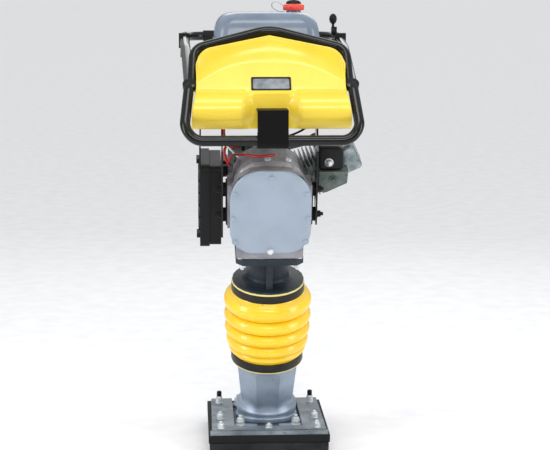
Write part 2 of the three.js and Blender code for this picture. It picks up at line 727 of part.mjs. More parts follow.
function flywheel() {
  const pieces = [ringY(82, 10.4, 236, 246, 0, SHAFT_LEVEL, 20)];
  for (let vane = 0; vane < 10; vane += 1) {
    const blade = box([46, 245, -2], [80, 258, 2]).rotateY((vane / 10) * 2 * Math.PI);
    pieces.push(blade.translate(0, 0, SHAFT_LEVEL));
  }
  return join(...pieces);
}

// The crankshaft carries the clutch shoes at its front end.
function crankshaft() {
  const shaft = bar('y', 10, 66, 262, [0, SHAFT_LEVEL], 12);
  const blank = ringY(44, 9, 72, 90, 0, SHAFT_LEVEL, 20);
  const slots = [0, 60, 120].flatMap((turn) => [-1, 1].map((side) => {
    const slot = box([side > 0 ? 18 : -60, 60, -2.5], [side > 0 ? 60 : -18, 95, 2.5]);
    return slot.rotateY(THREE.MathUtils.degToRad(turn)).translate(0, 0, SHAFT_LEVEL);
  }));
  return join(shaft, cut(blank, ...slots));
}

function fanHousing() {
  const drum = ringY(94, 88, FAN_HOUSING[0], FAN_HOUSING[1], 0, SHAFT_LEVEL, 20);
  const back = ringY(92, 58, FAN_HOUSING[1] - 4, FAN_HOUSING[1], 0, SHAFT_LEVEL, 20);
  const front = ringY(92, 20, FAN_HOUSING[0], FAN_HOUSING[0] + 4, 0, SHAFT_LEVEL, 20);
  const bossLow = FAN_HOUSING[0] - 3.6;
  const bosses = [40, 140, 220, 320].map((turn) => {
    const angle = THREE.MathUtils.degToRad(turn);
    const middle = [50 * Math.cos(angle), SHAFT_LEVEL + 50 * Math.sin(angle)];
    return bar('y', 7, bossLow, FAN_HOUSING[0] + 2, middle, 12);
  });
  return join(drum, back, front, ...bosses);
}

function recoilCover() {
  const start = FAN_HOUSING[1] + GAP;
  const wall = ringY(68, 63, start, 296, 0, SHAFT_LEVEL, 20);
  const dome = ringY(66, 7.3, 292, 298, 0, SHAFT_LEVEL, 20);
  const foot = ringY(78, 64, start, start + 4, 0, SHAFT_LEVEL, 20);
  const rose = alongX(ring(13, 4, 0, 10, 20), -1);
  const ropeEye = rose.translate(-66, 281, SHAFT_LEVEL + 30);
  const ropeHole = bar('x', 4, -90, -40, [281, SHAFT_LEVEL + 30], 12);
  return cut(join(wall, dome, foot, ropeEye), ropeHole);
}

// Turns a shape about Z so that it points along +X or -X.
function alongX(geometry, side) {
  return geometry.rotateY(side * Math.PI / 2);
}

function recoilPulley() {
  const profile = ringY(44, 12, 274, 288, 0, SHAFT_LEVEL, 20);
  const groove = ringY(50, 39, 278, 284, 0, SHAFT_LEVEL, 20);
  const post = bar('y', 6.8, 276, 304, [0, SHAFT_LEVEL], 16);
  const hub = ringY(14, 6, 276, 286, 0, SHAFT_LEVEL, 20);
  return join(cut(profile, groove), hub, post);
}

function starterGrip() {
  const grip = SHAFT_LEVEL + 30;
  const handle = box([-106, 260, grip - 9], [-92, 302, grip + 9]);
  const neck = bar('x', 7, -94, -79, [281, grip], 14);
  const rope = bar('x', 2.4, -82, -58, [281, grip], 8);
  return join(handle, neck, rope);
}

// ---- air filter, carburettor and fuel ------------------------------------------------------
const FILTER = { front: 84, back: 216, low: 418, high: 634 };

function airFilterCase() {
  const shape = roundRect(FILTER.front, FILTER.back, FILTER.low + 4, FILTER.high - 4, 16, 16);
  const shell = plateX(shape, -140, -112);
  const hollow = roundRect(FILTER.front + 5, FILTER.back - 5, FILTER.low + 9, FILTER.high - 9, 12);
  const room = plateX(hollow, -150, -117);
  const mouth = bar('x', 15, -120, -95, [150, 596], 20);
  const mouthHole = bar('x', 11, -130, -90, [150, 596], 20);
  return cut(join(cut(shell, room), mouth), mouthHole);
}

function airFilterLid() {
  const shape = roundRect(FILTER.front - 3, FILTER.back + 3, FILTER.low, FILTER.high, 18, 18);
  const shell = plateX(shape, -164, -140.3);
  const hollow = roundRect(FILTER.front + 3, FILTER.back - 3, FILTER.low + 6, FILTER.high - 6, 12);
  const room = plateX(hollow, -159, -130);
  const ribs = [0, 1, 2, 3, 4].map((step) => {
    const z = FILTER.low + 44 + step * 32;
    return box([-168, FILTER.front + 8, z], [-160, FILTER.back - 8, z + 6]);
  });
  const ears = [FILTER.low + 2, FILTER.high - 14].map((z) => box([-172, 140, z], [-154, 166, z + 12]));
  return join(cut(shell, room), ...ribs, ...ears);
}

const CARB = { x: -58, y: 150, z: 650, mouth: 596 };

// A horizontal carburettor: an elbow from the air filter, a float bowl below, and the inlet pipe
// that climbs to the top of the cylinder.
function carburettor() {
  const { x, y, z, mouth } = CARB;
  const barrel = bar('x', 14, -94.6, -30, [y, z], 16);
  const bowl = bar('z', 17, z - 36, z - 8, [x, y], 16);
  const flange = box([-34, y - 22, z - 18], [-29, y + 22, z + 18]);
  const top = box([x - 16, y - 12, z + 6], [x + 14, y + 14, z + 22]);
  const elbow = join(bar('x', 14, -94.6, -84, [y, mouth], 16), box([-94.6, y - 12, mouth], [-80, y + 12, z]));
  const inletWay = [[-32, y, z], [30, y, z + 6], [100, y + 2, z + 24], [126, y + 6, z + 20]];
  const inletPipe = tube(inletWay, 11, 30, 10, 10);
  return join(barrel, bowl, flange, top, elbow, inletPipe);
}

function chokeLever() {
  const { x, z } = CARB;
  const front = CARB.y - 28;
  const arm = box([x - 4, front, z + 10], [x + 4, front + 4, z + 38]);
  const tab = box([x - 8, front - 8, z + 34], [x + 8, front + 4, z + 40]);
  const stub = bar('y', 4, front + 0.3, CARB.y - 12.4, [x, z + 16], 10);
  return join(arm, tab, stub);
}

const OIL_CAP = [120, 500]; // on the left wall of the engine block

function oilFillerCap() {
  const [y, z] = OIL_CAP;
  const knob = bar('x', 13, -88, -78, OIL_CAP, 10);
  const wing = box([-93, y - 10, z - 3], [-86, y + 10, z + 3]);
  const stem = bar('x', 7, -79, -72.4, OIL_CAP, 10);
  return join(knob, wing, stem);
}

// ---- side mounts --------------------------------------------------------------------------
// Two rubber bushes on one bonded steel strip, at each side of the crankcase.
function rubberMounts(side) {
  const inner = MOUNT_FACE + GAP;
  const outer = BRACKET_FACE - GAP;
  const strip = box([inner, -24, 528], [inner + 3, 24, 628]);
  const bushes = MOUNT_LEVELS.map((z) => bar('x', 17, inner + 1, outer, [0, z], 14));
  const bolts = MOUNT_LEVELS.flatMap((z) => [
    bar('x', 4.5, outer - 4, BRACKET_FACE + 20, [0, z], 8),
    bar('x', 11, BRACKET_FACE + 4.3, BRACKET_FACE + 6.5, [0, z], 12),
    hexagon('x', 8.5, BRACKET_FACE + 6, BRACKET_FACE + 14, [0, z]),
  ]);
  const whole = join(strip, ...bushes, ...bolts);
  return side > 0 ? whole : flipX(whole);
}

function flipX(geometry) {
  const flipped = clean(geometry);
  flipped.scale(-1, 1, 1);
  const order = flipped.index.array;
  for (let corner = 0; corner < order.length; corner += 3) {
    const swap = order[corner];
    order[corner] = order[corner + 1];
    order[corner + 1] = swap;
  }
  return flipped;
}

// A side plate stands on the rubber mounts and rises to the cross tube of the handle.
function sideBracket(side, lowEnd) {
  const strip = box([BRACKET_FACE, -27, lowEnd], [BRACKET_FACE + 4, 27, 712]);
  const arm = plateX(outline([[-27, 700], [27, 700], [90, 812], [50, 834]]), BRACKET_FACE, BRACKET_FACE + 4);
  const holes = MOUNT_LEVELS.map((z) => bar('x', 7.5, BRACKET_FACE - 5, BRACKET_FACE + 9, [0, z], 12));
  const eye = level(bar('x', 24, BRACKET_FACE, BRACKET_FACE + 4, [BRIDGE.y, BRIDGE.z], 20));
  const tubeHole = level(bar('x', TUBE_RADIUS + GAP, 90, 130, [BRIDGE.y, BRIDGE.z], 16));
  const whole = cut(join(strip, arm, eye), ...holes, tubeHole);
  return side > 0 ? whole : flipX(whole);
}

// ---- handle frame -------------------------------------------------------------------------
// The welded carrier: a cross tube on the side plates, a strut and a clamped collar at each end
// that join the front bar, the peak bar and the operator's loop, and the cradle under the tank.
function collar(side) {
  const x = side * COLLAR.x;
  const inner = x - side * 15;
  const outer = x + side * 15;
  const block = bar('x', 18, Math.min(inner, outer), Math.max(inner, outer), [COLLAR.y, COLLAR.z], 16);
  const ends = [outer, outer + side * 6].sort((a, b) => a - b);
  const head = hexagon('x', 8, ends[0], ends[1], [COLLAR.y, COLLAR.z]);
  const below = box([x - 40, COLLAR.y - 60, COLLAR.z - 60], [x + 40, COLLAR.y + 60, COLLAR.z - 16.4]);
  const above = box([x - 40, COLLAR.y - 60, COLLAR.z + 16.4], [x + 40, COLLAR.y + 60, COLLAR.z + 60]);
  return cut(join(block, head), below, above);
}

function strut(side) {
  const low = [side * 160, BRIDGE.y, BRIDGE.z];
  const high = [side * (COLLAR.x - 18), COLLAR.y + 6, COLLAR.z];
  return tube([low, [(low[0] + high[0]) / 2, -200, 889], high], 9, 1, 2, 8);
}

function tankCradle() {
  const under = TANK.low - GAP - 2;
  const low = TANK.low - 12;
  const bars = [-60, 120].flatMap((y) => [
    box([-176, y - 12, low], [176, y + 12, under]),
    box([-176, y - 12, low], [-170, y + 12, TANK.low + 2]),
    box([170, y - 12, low], [176, y + 12, TANK.low + 2]),
  ]);
  const keel = box([-14, -70, low], [14, 130, under]);
  const post = box([-14, BRIDGE.y - 6, BRIDGE.z + 8], [14, BRIDGE.y + 6, under]);
  const reach = box([-14, BRIDGE.y - 6, low], [14, -60, under]);
  return join(...bars, keel, post, reach);
}

function carrierFrame() {
  const cross = bar('x', TUBE_RADIUS, -172, 172, [BRIDGE.y, BRIDGE.z], 14);
  return join(cross, strut(-1), strut(1), collar(-1), collar(1), tankCradle());
}

function frontBar() {
  const top = [COLLAR.x, COLLAR.y - 12, COLLAR.z - 24];
  const right = [top, [199, FRONT_BAR_Y + 10, 812], [176, FRONT_BAR_Y, FRONT_BAR_Z]];
  const points = [...right, ...mirrored(right).reverse()];
  return tube(points, TUBE_RADIUS, 40, 30, 8);
}

function peakBar() {
  const right = [[COLLAR.x, COLLAR.y + 10, COLLAR.z + 24], [180, -176, 996]];
  const points = [...right, [0, -158, 1031], ...mirrored(right).reverse()];
  return tube(points, TUBE_RADIUS, 40, 30, 8);
}

function operatorLoop(radius) {
  const right = [
    [COLLAR.x, COLLAR.y + 18.6, COLLAR.z + 2], [196, 40, 978], [200, 250, LOOP_Z], [200, LOOP_REAR_Y, LOOP_Z],
  ];
  const points = [...right, ...mirrored(right).reverse()];
  return tube(points, radius, 70, 44, 8);
}

// A folded plate wraps the front bar and closes the hood's centre recess.
function centrePlate() {
  const face = box([-35, FRONT_BAR_Y - 18, FRONT_BAR_Z], [35, FRONT_BAR_Y - 13.5, 853]);
  const top = box([-35, FRONT_BAR_Y - 18, 849], [35, -280.5, 853]);
  const saddle = bar('x', TUBE_RADIUS + 6, -35, 35, [FRONT_BAR_Y, FRONT_BAR_Z], 20);
  const behind = box([-40, FRONT_BAR_Y + 2, FRONT_BAR_Z], [40, FRONT_BAR_Y + 40, FRONT_BAR_Z + 40]);
  const tubeHole = bar('x', TUBE_RADIUS + GAP, -60, 60, [FRONT_BAR_Y, FRONT_BAR_Z], 24);
  return cut(join(face, top, saddle), behind, tubeHole);
}

// ---- hood ---------------------------------------------------------------------------------
const HOOD = { half: 183, low: 804, bulgeY: -262, bulgeZ: 846, bulge: 42, back: -122, wall: 4 };
const FACE_LOW = [-273, 886]; // foot and head of the hood's sloping face, in Y and Z
const FACE_HIGH = [-216, 955];

function hoodProfile(inset) {
  const points = [];
  const radius = HOOD.bulge - inset;
  for (let step = 0; step <= 8; step += 1) {
    const angle = -Math.PI / 2 - (step / 8) * THREE.MathUtils.degToRad(155);
    points.push([HOOD.bulgeY + radius * Math.cos(angle), HOOD.bulgeZ + radius * Math.sin(angle)]);
  }
  points.push([FACE_LOW[0] + inset, FACE_LOW[1] + inset * 0.5]);
  points.push([FACE_HIGH[0] + inset, FACE_HIGH[1] - inset * 0.5]);
  points.push([FACE_HIGH[0] + 10 + inset, FACE_HIGH[1] - inset * 0.5]);
  points.push([-172 + inset, 1018 - inset]);
  points.push([HOOD.back + inset * 6, 1018 - inset]);
  points.push([HOOD.back + inset * 6, HOOD.low - inset * 6 + 30]);
  points.push([-230, HOOD.low - inset * 6]);
  return outline(points.reverse());
}

function hoodFront(inset) {
  const half = HOOD.half - inset;
  const low = HOOD.low - inset * 8;
  const shape = new THREE.Shape();
  shape.moveTo(-half, low);
  shape.lineTo(half, low);
  shape.lineTo(half - 4, 850);
  shape.lineTo(half - 14, 888);
  shape.lineTo(half - 16, 945);
  shape.quadraticCurveTo(half - 20, 978 - inset, half - 52, 984 - inset);
  shape.lineTo(0, 1015 - inset);
  shape.lineTo(-half + 52, 984 - inset);
  shape.quadraticCurveTo(-half + 20, 978 - inset, -half + 16, 945);
  shape.lineTo(-half + 14, 888);
  shape.lineTo(-half + 4, 850);
  return shape;
}

function hoodSolid(inset) {
  const profile = plateX(hoodProfile(inset), -200, 200);
  const front = plateY(hoodFront(inset), -340, -80);
  const half = 38 + inset * 0.5;
  const recess = box([-half, -330, 780], [half, FACE_LOW[0] - 6 + inset, 872 + inset]);
  return cut(overlap(profile, front), recess);
}

// The yellow cowl is a thin shell, open below and behind, with a notch at each side for the struts.
function hood() {
  const notches = [-1, 1].map((side) => {
    const edges = [side * 145, side * 200];
    return box([Math.min(...edges), -262, 856], [Math.max(...edges), -100, 926]);
  });
  return cut(hoodSolid(0), hoodSolid(HOOD.wall), ...notches);
}

// A framed sight window lies on the hood's sloping face.
function hoodWindow() {
  const slope = Math.atan2(FACE_HIGH[0] - FACE_LOW[0], FACE_HIGH[1] - FACE_LOW[1]);
  const frame = box([-45, -6, -18], [45, -0.6, 18]);
  const pane = box([-40, -7, -13], [40, -4.4, 13]);
  const middle = [FACE_LOW[0] + 15.5, FACE_LOW[1] + 19];
  return cut(frame, pane).rotateX(-slope).translate(0, middle[0], middle[1]);
}

// ---- tank ---------------------------------------------------------------------------------
const TANK = { half: 128, topHalf: 100, low: 936, high: 1068, front: -104, back: 172 };
const CAP = { x: 70, y: 40 };
const TAP = [-100, 20]; // fuel tap under the tank

function tankOutline(inset) {
  const half = TANK.half - inset;
  const shape = new THREE.Shape();
  shape.moveTo(-half + 20, TANK.low + inset);
  shape.lineTo(half - 20, TANK.low + inset);
  shape.quadraticCurveTo(half, TANK.low + inset, half, TANK.low + 26);
  shape.lineTo(half - 3, 1030);
  shape.quadraticCurveTo(half - 12, 1058, TANK.topHalf - inset, TANK.high - inset);
  shape.quadraticCurveTo(0, TANK.high - inset - 10, -TANK.topHalf + inset, TANK.high - inset);
  shape.quadraticCurveTo(-half + 12, 1058, -half + 3, 1030);
  shape.lineTo(-half, TANK.low + 26);
  shape.quadraticCurveTo(-half, TANK.low + inset, -half + 20, TANK.low + inset);
  return shape;
}

function fuelTank() {
  const shell = plateY(tankOutline(0), TANK.front, TANK.back);
  const room = plateY(tankOutline(5), TANK.front + 5, TANK.back - 5);
  const neck = bar('z', 18, TANK.high - 16, TANK.high + 8, [CAP.x, CAP.y], 24);
  const mouth = bar('z', 14, TANK.high - 30, TANK.high + 20, [CAP.x, CAP.y], 24);
  const tapNeck = bar('z', 6, 916, TANK.low + 3, TAP, 12);
  const tapBody = bar('z', 11, 904, 922, TAP, 14);
  const spout = bar('z', 4, 890, 906, TAP, 8);
  return cut(join(cut(shell, room), neck, tapNeck, tapBody, spout), mouth);
}

function tankCap() {
  const skirt = turned([
    [18.4, 1], [24, 0], [26, 3], [26, 14], [23, 17], [13, 20], [11, 27], [0.4, 28], [0.4, 9], [18.4, 9],
  ], 16).translate(CAP.x, CAP.y, TANK.high + 1.5);
  const wings = box([CAP.x - 19, CAP.y - 4, TANK.high + 16], [CAP.x + 19, CAP.y + 4, TANK.high + 24]);
  return join(skirt, wings);
}

// ---- controls -----------------------------------------------------------------------------
function fuelTapLever() {
  const hub = bar('y', 8, TAP[1] - 18, TAP[1] - 11.3, [TAP[0], 913], 16);
  const arm = box([TAP[0] - 5, TAP[1] - 18, 888], [TAP[0] + 5, TAP[1] - 14, 912]);
  return join(hub, arm);
}

// The fuel hose drops from the tap, bends forward and comes back to the front of the carburettor.
function fuelHose() {
  const [x, y] = TAP;
  return hose([[x, y, 889], [x, y - 2, 868], [x - 3, y - 36, 812], [x + 2, y - 74, 772],
    [x + 14, y - 88, 752], [x + 27, y - 84, 744], [x + 34, y - 66, 744]], 4.2, 22);
}

const LEVER = { x: 182, y: 200, z: 1016 };

function throttleClamp() {
  const block = box([LEVER.x + 4, LEVER.y - 17, 976], [214, LEVER.y + 17, 1012]);
  const ear = box([LEVER.x + 4, LEVER.y - 11, 1000], [LEVER.x + 9, LEVER.y + 11, 1028]);
  return cut(join(block, ear), operatorLoop(TUBE_RADIUS + GAP));
}

function throttleLever() {
  const hub = bar('x', 12, LEVER.x - 4, LEVER.x + 3.6, [LEVER.y, LEVER.z], 18);
  const stem = box([LEVER.x - 3, LEVER.y - 4, LEVER.z], [LEVER.x + 3, LEVER.y + 4, 1044]);
  const knob = new THREE.SphereGeometry(10, 12, 6).scale(1, 1, 1.4).translate(LEVER.x, LEVER.y, 1048);
  return join(hub, stem, knob);
}

// The throttle cable runs forward under the right tube, then down to the engine.
function throttleCable() {
  return hose([[LEVER.x - 2, LEVER.y - 18, 996], [180, 120, 966], [181, 20, 944], [183, -62, 926],
    [160, -100, 870], [96, -90, 795], [30, -66, 765], [-24, -36, 762]], 2.6, 34);
}

// The stop switch is clamped on the left tube, with its body below it and its button at the rear.
function stopSwitch() {
  const clamp = box([-214, 203, 974], [-186, 237, 1012]);
  const shell = box([-210, 206, 950], [-190, 234, 976]);
  const bore = bar('y', 7, 222, 250, [-200, 964], 16);
  return cut(join(clamp, shell), operatorLoop(TUBE_RADIUS + GAP), bore);
}

function stopButton() {
  return join(bar('y', 6.6, 226.5, 240, [-200, 964], 18), bar('y', 5, 238, 242, [-200, 964], 18));
}

// ---- assembly -----------------------------------------------------------------------------
const inGround = [
  ['sole_plate', solePlate(), DARK_STEEL],
  ['wood_block', woodBlock(), WOOD],
  ['cushion_slab', cushionSlab(), RUBBER],
  ['shoe_bolts', shoeBolts(), STEEL],
  ['shoe_tray', shoeTray(), GREY_PAINT],
  ['stud_plate', studPlate(), DARK_STEEL],
  ['front_bar', frontBar(), BLACK_PAINT],
  ['peak_bar', peakBar(), BLACK_PAINT],
  ['operator_loop', operatorLoop(TUBE_RADIUS), BLACK_PAINT],
  ['carrier_frame', carrierFrame(), BLACK_PAINT],
  ['centre_plate', centrePlate(), BLACK_PAINT],
  ['hood', hood(), YELLOW],
  ['hood_window', hoodWindow(), BLACK_PLASTIC],
  ['fuel_tank', fuelTank(), TANK_GREY],
  ['tank_cap', tankCap(), RED],
  ['fuel_tap_lever', fuelTapLever(), RED],
  ['fuel_hose', fuelHose(), RED],
  ['throttle_clamp', throttleClamp(), BLACK_PLASTIC],
  ['throttle_lever', throttleLever(), BLACK_PLASTIC],
  ['throttle_cable', throttleCable(), BLACK_PLASTIC],
  ['stop_switch', stopSwitch(), BLACK_PLASTIC],
  ['stop_button', stopButton(), RED],
];

const inLeg = [
  ['foot_casting', footCasting(), CAST],
  ['lower_clamp_band', clampBand(LOWER_BAND), SLATE],
  ['spring_cylinder', springCylinder(), STEEL],
  ['lower_spring', spring(RAM_BOTTOM + 8, PISTON_LEVEL - 14, 4), DARK_STEEL],
  ['upper_spring', spring(PISTON_LEVEL + PISTON_THICK, RAM_TOP - 8, 4), DARK_STEEL],
  ['bellows', bellows(), YELLOW],
  ['piston_rod', pistonRod(), STEEL],
  ['guide_cylinder', guideCylinder(), SLATE],
  ['upper_clamp_band', clampBand(UPPER_BAND), SLATE],
  ['flange_studs', flangeStuds(), STEEL],
  ['crankcase', crankcase(), CAST],
  ['crankcase_cover', crankcaseCover(), CAST_PALE],
  ['cover_gasket', coverGasket(), BLACK_PLASTIC],
  ['crank_gear', crankGear(), STEEL],
  ['shaft_bearings', shaftBearings(), STEEL],
  ['connecting_rod', connectingRod(), CAST],
  ['pinion', pinionGear(), STEEL],
  ['clutch_drum', clutchDrum(), DARK_STEEL],
  ['crankshaft', crankshaft(), STEEL],
  ['engine_block', engineBlock(), CAST],
  ['cylinder', cylinderBarrel(), CAST],
  ['valve_cover', valveCover(), CAST],
  ['spark_plug', sparkPlug(), BLACK_PLASTIC],
  ['muffler', muffler(), OLIVE],
  ['flywheel', flywheel(), CAST],
  ['fan_housing', fanHousing(), BLACK_PLASTIC],
  ['recoil_cover', recoilCover(), BLACK_PLASTIC],
  ['recoil_pulley', recoilPulley(), BLACK_PLASTIC],
  ['starter_grip', starterGrip(), BLACK_PLASTIC],
  ['air_filter_case', airFilterCase(), BLACK_PLASTIC],
  ['air_filter_lid', airFilterLid(), BLACK_PLASTIC],
  ['carburettor', carburettor(), CAST],
  ['choke_lever', chokeLever(), BLACK_PLASTIC],
  ['oil_filler_cap', oilFillerCap(), BLACK_PLASTIC],
  ['left_mounts', rubberMounts(-1), RUBBER],
  ['right_mounts', rubberMounts(1), RUBBER],
  ['left_bracket', sideBracket(-1, 496), BLACK_PAINT],
  ['right_bracket', sideBracket(1, 528), BLACK_PAINT],
];

inGround.forEach(([name, geometry, look]) => node(rammer, name, geometry, look));
inLeg.forEach(([name, geometry, look]) => node(leg, name, geometry, look));
rammer.updateMatrixWorld(true);

export default rammer;
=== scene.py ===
# %% [markdown]
# # A tamping rammer in Blender
# A tamping rammer is a petrol hammer for soil. An engine turns a crank, the crank throws a sprung
# leg, and the leg slams a flat shoe at the ground while the operator steers by a tube handle.
# The engineering model is loaded first and gives every position. Each visible piece is then either
# finished with a material or rebuilt with softer, finer surfaces in the same place.

# %% Load the frame
import bpy
import bmesh
import math
from mathutils import Matrix, Vector


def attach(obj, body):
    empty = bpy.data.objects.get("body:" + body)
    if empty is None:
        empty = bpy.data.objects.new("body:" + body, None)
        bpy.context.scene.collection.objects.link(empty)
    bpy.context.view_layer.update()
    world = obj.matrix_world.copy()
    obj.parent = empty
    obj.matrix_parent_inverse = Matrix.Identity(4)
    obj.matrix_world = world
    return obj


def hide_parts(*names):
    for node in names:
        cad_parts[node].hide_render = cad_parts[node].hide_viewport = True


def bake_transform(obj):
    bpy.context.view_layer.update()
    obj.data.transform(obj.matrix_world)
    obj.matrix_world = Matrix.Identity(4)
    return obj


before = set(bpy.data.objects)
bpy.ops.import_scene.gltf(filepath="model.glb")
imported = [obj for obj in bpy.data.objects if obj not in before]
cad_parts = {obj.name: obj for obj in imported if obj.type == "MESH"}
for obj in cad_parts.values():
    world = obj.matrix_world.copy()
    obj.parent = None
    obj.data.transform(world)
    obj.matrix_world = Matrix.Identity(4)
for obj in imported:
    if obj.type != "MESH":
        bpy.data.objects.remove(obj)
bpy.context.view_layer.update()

# %% [markdown]
# ## Working in the leaning leg
# The leg leans 16 degrees forward. Anything on it is easiest to draw upright, so one matrix carries
# millimetres in the upright leg to metres in the world. A second one does the same for level parts.

# %% The two drawing frames
LEAN = math.radians(16)
SCALE = Matrix.Diagonal((0.001, 0.001, 0.001, 1))
LEVEL = SCALE.copy()
LEG = SCALE @ Matrix.Translation((0, 10, 66)) @ Matrix.Rotation(LEAN, 4, "X")
print("leg top is at", (LEG @ Vector((0, 0, 702))).to_tuple(3))

# %% [markdown]
# ## Camera, floor and light
# The machine is seen from the front, from a little above its handle and far away, so lines stay
# nearly parallel. The lens is given in millimetres for a 36 mm sensor. The floor is plain and pale.

# %% Camera
eye = bpy.data.cameras.new("studio_camera")
eye.sensor_width = 36
eye.lens = 104.7
camera = bpy.data.objects.new("studio_camera", eye)
camera.location = (-0.1837, -3.930, 1.110)
camera.rotation_euler = (math.radians(90 - 8.2), 0, math.radians(-3))
bpy.context.scene.collection.objects.link(camera)
bpy.context.scene.camera = camera
print("camera distance", round(camera.location.length, 3))

# %% [markdown]
# Soft light comes from two tall boxes at the sides, one broad box above the camera, a small one
# overhead and a weak one behind. The side boxes shape the foot's flat faces, and the overhead box
# brightens the tops of the lobes and rolls. The sky is dim at the horizon and bright above.

# %% Lights
def softbox(name, place, aim, width, height, watts):
    lamp = bpy.data.lights.new(name, "AREA")
    lamp.shape = "RECTANGLE"
    lamp.size = width
    lamp.size_y = height
    lamp.energy = watts
    body = bpy.data.objects.new(name, lamp)
    body.location = place
    body.rotation_euler = (Vector(aim) - Vector(place)).to_track_quat("-Z", "Y").to_euler()
    bpy.context.scene.collection.objects.link(body)


softbox("left_box", (-2.3, -1.2, 1.3), (0, -0.1, 0.6), 0.8, 2.0, 30)
softbox("right_box", (2.3, -1.2, 1.2), (0, -0.1, 0.6), 0.8, 2.0, 24)
softbox("front_box", (0.1, -3.0, 2.1), (0, -0.1, 0.6), 1.4, 0.7, 21)
softbox("top_box", (0, -0.95, 2.5), (0, -0.1, 0.1), 1.0, 0.5, 9)
softbox("back_box", (0.4, 2.4, 2.0), (0, 0.1, 0.7), 1.8, 1.0, 10)

world = bpy.data.worlds.new("studio")
world.use_nodes = True
sky = world.node_tree.nodes["Background"]
sky.inputs["Color"].default_value = (0.98, 0.99, 1.0, 1)
where = world.node_tree.nodes.new("ShaderNodeTexCoord")
height = world.node_tree.nodes.new("ShaderNodeSeparateXYZ")
ceiling = world.node_tree.nodes.new("ShaderNodeMapRange")
ceiling.inputs["From Max"].default_value = 0.75
ceiling.inputs["To Min"].default_value = 0.2
ceiling.inputs["To Max"].default_value = 0.98
world.node_tree.links.new(where.outputs["Generated"], height.inputs["Vector"])
world.node_tree.links.new(height.outputs["Z"], ceiling.inputs["Value"])
world.node_tree.links.new(ceiling.outputs["Result"], sky.inputs["Strength"])
bpy.context.scene.world = world
bpy.context.scene.view_settings.view_transform = "Standard"

floor_mesh = bpy.data.meshes.new("pale_floor")
reach, sunk = 600, -0.001
floor_corners = [(-reach, -reach, sunk), (reach, -reach, sunk), (reach, reach, sunk), (-reach, reach, sunk)]
floor_mesh.from_pydata(floor_corners, [], [(0, 1, 2, 3)])
floor = bpy.data.objects.new("pale_floor", floor_mesh)
bpy.context.scene.collection.objects.link(floor)

# %% [markdown]
# ## Materials
# Every finish starts from the same recipe: noise breaks the colour up a little, more noise changes
# the roughness, and a fine bump gives the surface its grain. What differs is the size of the grain,
# how metallic it is and whether a clear coat lies on top.

# %% The recipe for a finish
def srgb(red, green, blue):
    def linear(value):
        value = value / 255
        return value / 12.92 if value <= 0.04045 else ((value + 0.055) / 1.055) ** 2.4
    return (linear(red), linear(green), linear(blue), 1)


def finish(name, light, dark, rough, metal=0.0, coat=0.0, grain=600, bump=0.1, patch=14,
           dirt=None, shine=0.5):
    made = bpy.data.materials.new(name)
    made.use_nodes = True
    nodes = made.node_tree.nodes
    links = made.node_tree.links
    shader = nodes["Principled BSDF"]
    shader.inputs["Metallic"].default_value = metal
    shader.inputs["Specular IOR Level"].default_value = shine
    shader.inputs["Coat Weight"].default_value = coat
    shader.inputs["Coat Roughness"].default_value = 0.12
    place = nodes.new("ShaderNodeTexCoord")
    clouds = nodes.new("ShaderNodeTexNoise")
    clouds.inputs["Scale"].default_value = patch
    clouds.inputs["Detail"].default_value = 6
    tint = nodes.new("ShaderNodeValToRGB")
    tint.color_ramp.elements[0].position = 0.32
    tint.color_ramp.elements[0].color = dark
    tint.color_ramp.elements[1].position = 0.62
    tint.color_ramp.elements[1].color = light
    fine = nodes.new("ShaderNodeTexNoise")
    fine.inputs["Scale"].default_value = grain
    fine.inputs["Detail"].default_value = 3
    wear = nodes.new("ShaderNodeMapRange")
    wear.inputs["To Min"].default_value = max(rough - 0.08, 0.02)
    wear.inputs["To Max"].default_value = min(rough + 0.1, 1)
    relief = nodes.new("ShaderNodeBump")
    relief.inputs["Strength"].default_value = bump
    relief.inputs["Distance"].default_value = 0.0006
    links.new(place.outputs["Object"], clouds.inputs["Vector"])
    links.new(place.outputs["Object"], fine.inputs["Vector"])
    links.new(clouds.outputs["Fac"], tint.inputs["Fac"])
    links.new(clouds.outputs["Fac"], wear.inputs["Value"])
    links.new(wear.outputs["Result"], shader.inputs["Roughness"])
    links.new(fine.outputs["Fac"], relief.inputs["Height"])
    links.new(relief.outputs["Normal"], shader.inputs["Normal"])
    colour = tint.outputs["Color"]
    if dirt:
        colour = soil(nodes, links, place, colour, dirt)
    links.new(colour, shader.inputs["Base Color"])
    return made


def soil(nodes, links, place, colour, dirt):
    """Specks of dried soil and worn paint, laid over the colour below."""
    shade, amount = dirt
    spots = nodes.new("ShaderNodeTexNoise")
    spots.inputs["Scale"].default_value = 55
    spots.inputs["Detail"].default_value = 9
    spots.inputs["Roughness"].default_value = 0.7
    cut_off = nodes.new("ShaderNodeMapRange")
    cut_off.inputs["From Min"].default_value = 0.64 - 0.12 * amount
    cut_off.inputs["From Max"].default_value = 0.74
    cover_up = nodes.new("ShaderNodeMix")
    cover_up.data_type = "RGBA"
    cover_up.inputs["B"].default_value = shade
    links.new(place.outputs["Object"], spots.inputs["Vector"])
    links.new(spots.outputs["Fac"], cut_off.inputs["Value"])
    links.new(cut_off.outputs["Result"], cover_up.inputs["Factor"])
    links.new(colour, cover_up.inputs["A"])
    return cover_up.outputs["Result"]


# %% [markdown]
# The foot and crankcase are sand-cast aluminium with a thin grey-blue paint. The cover is smoother
# and paler. Tubes and plates are black powder coat, which has a fine orange-peel skin.

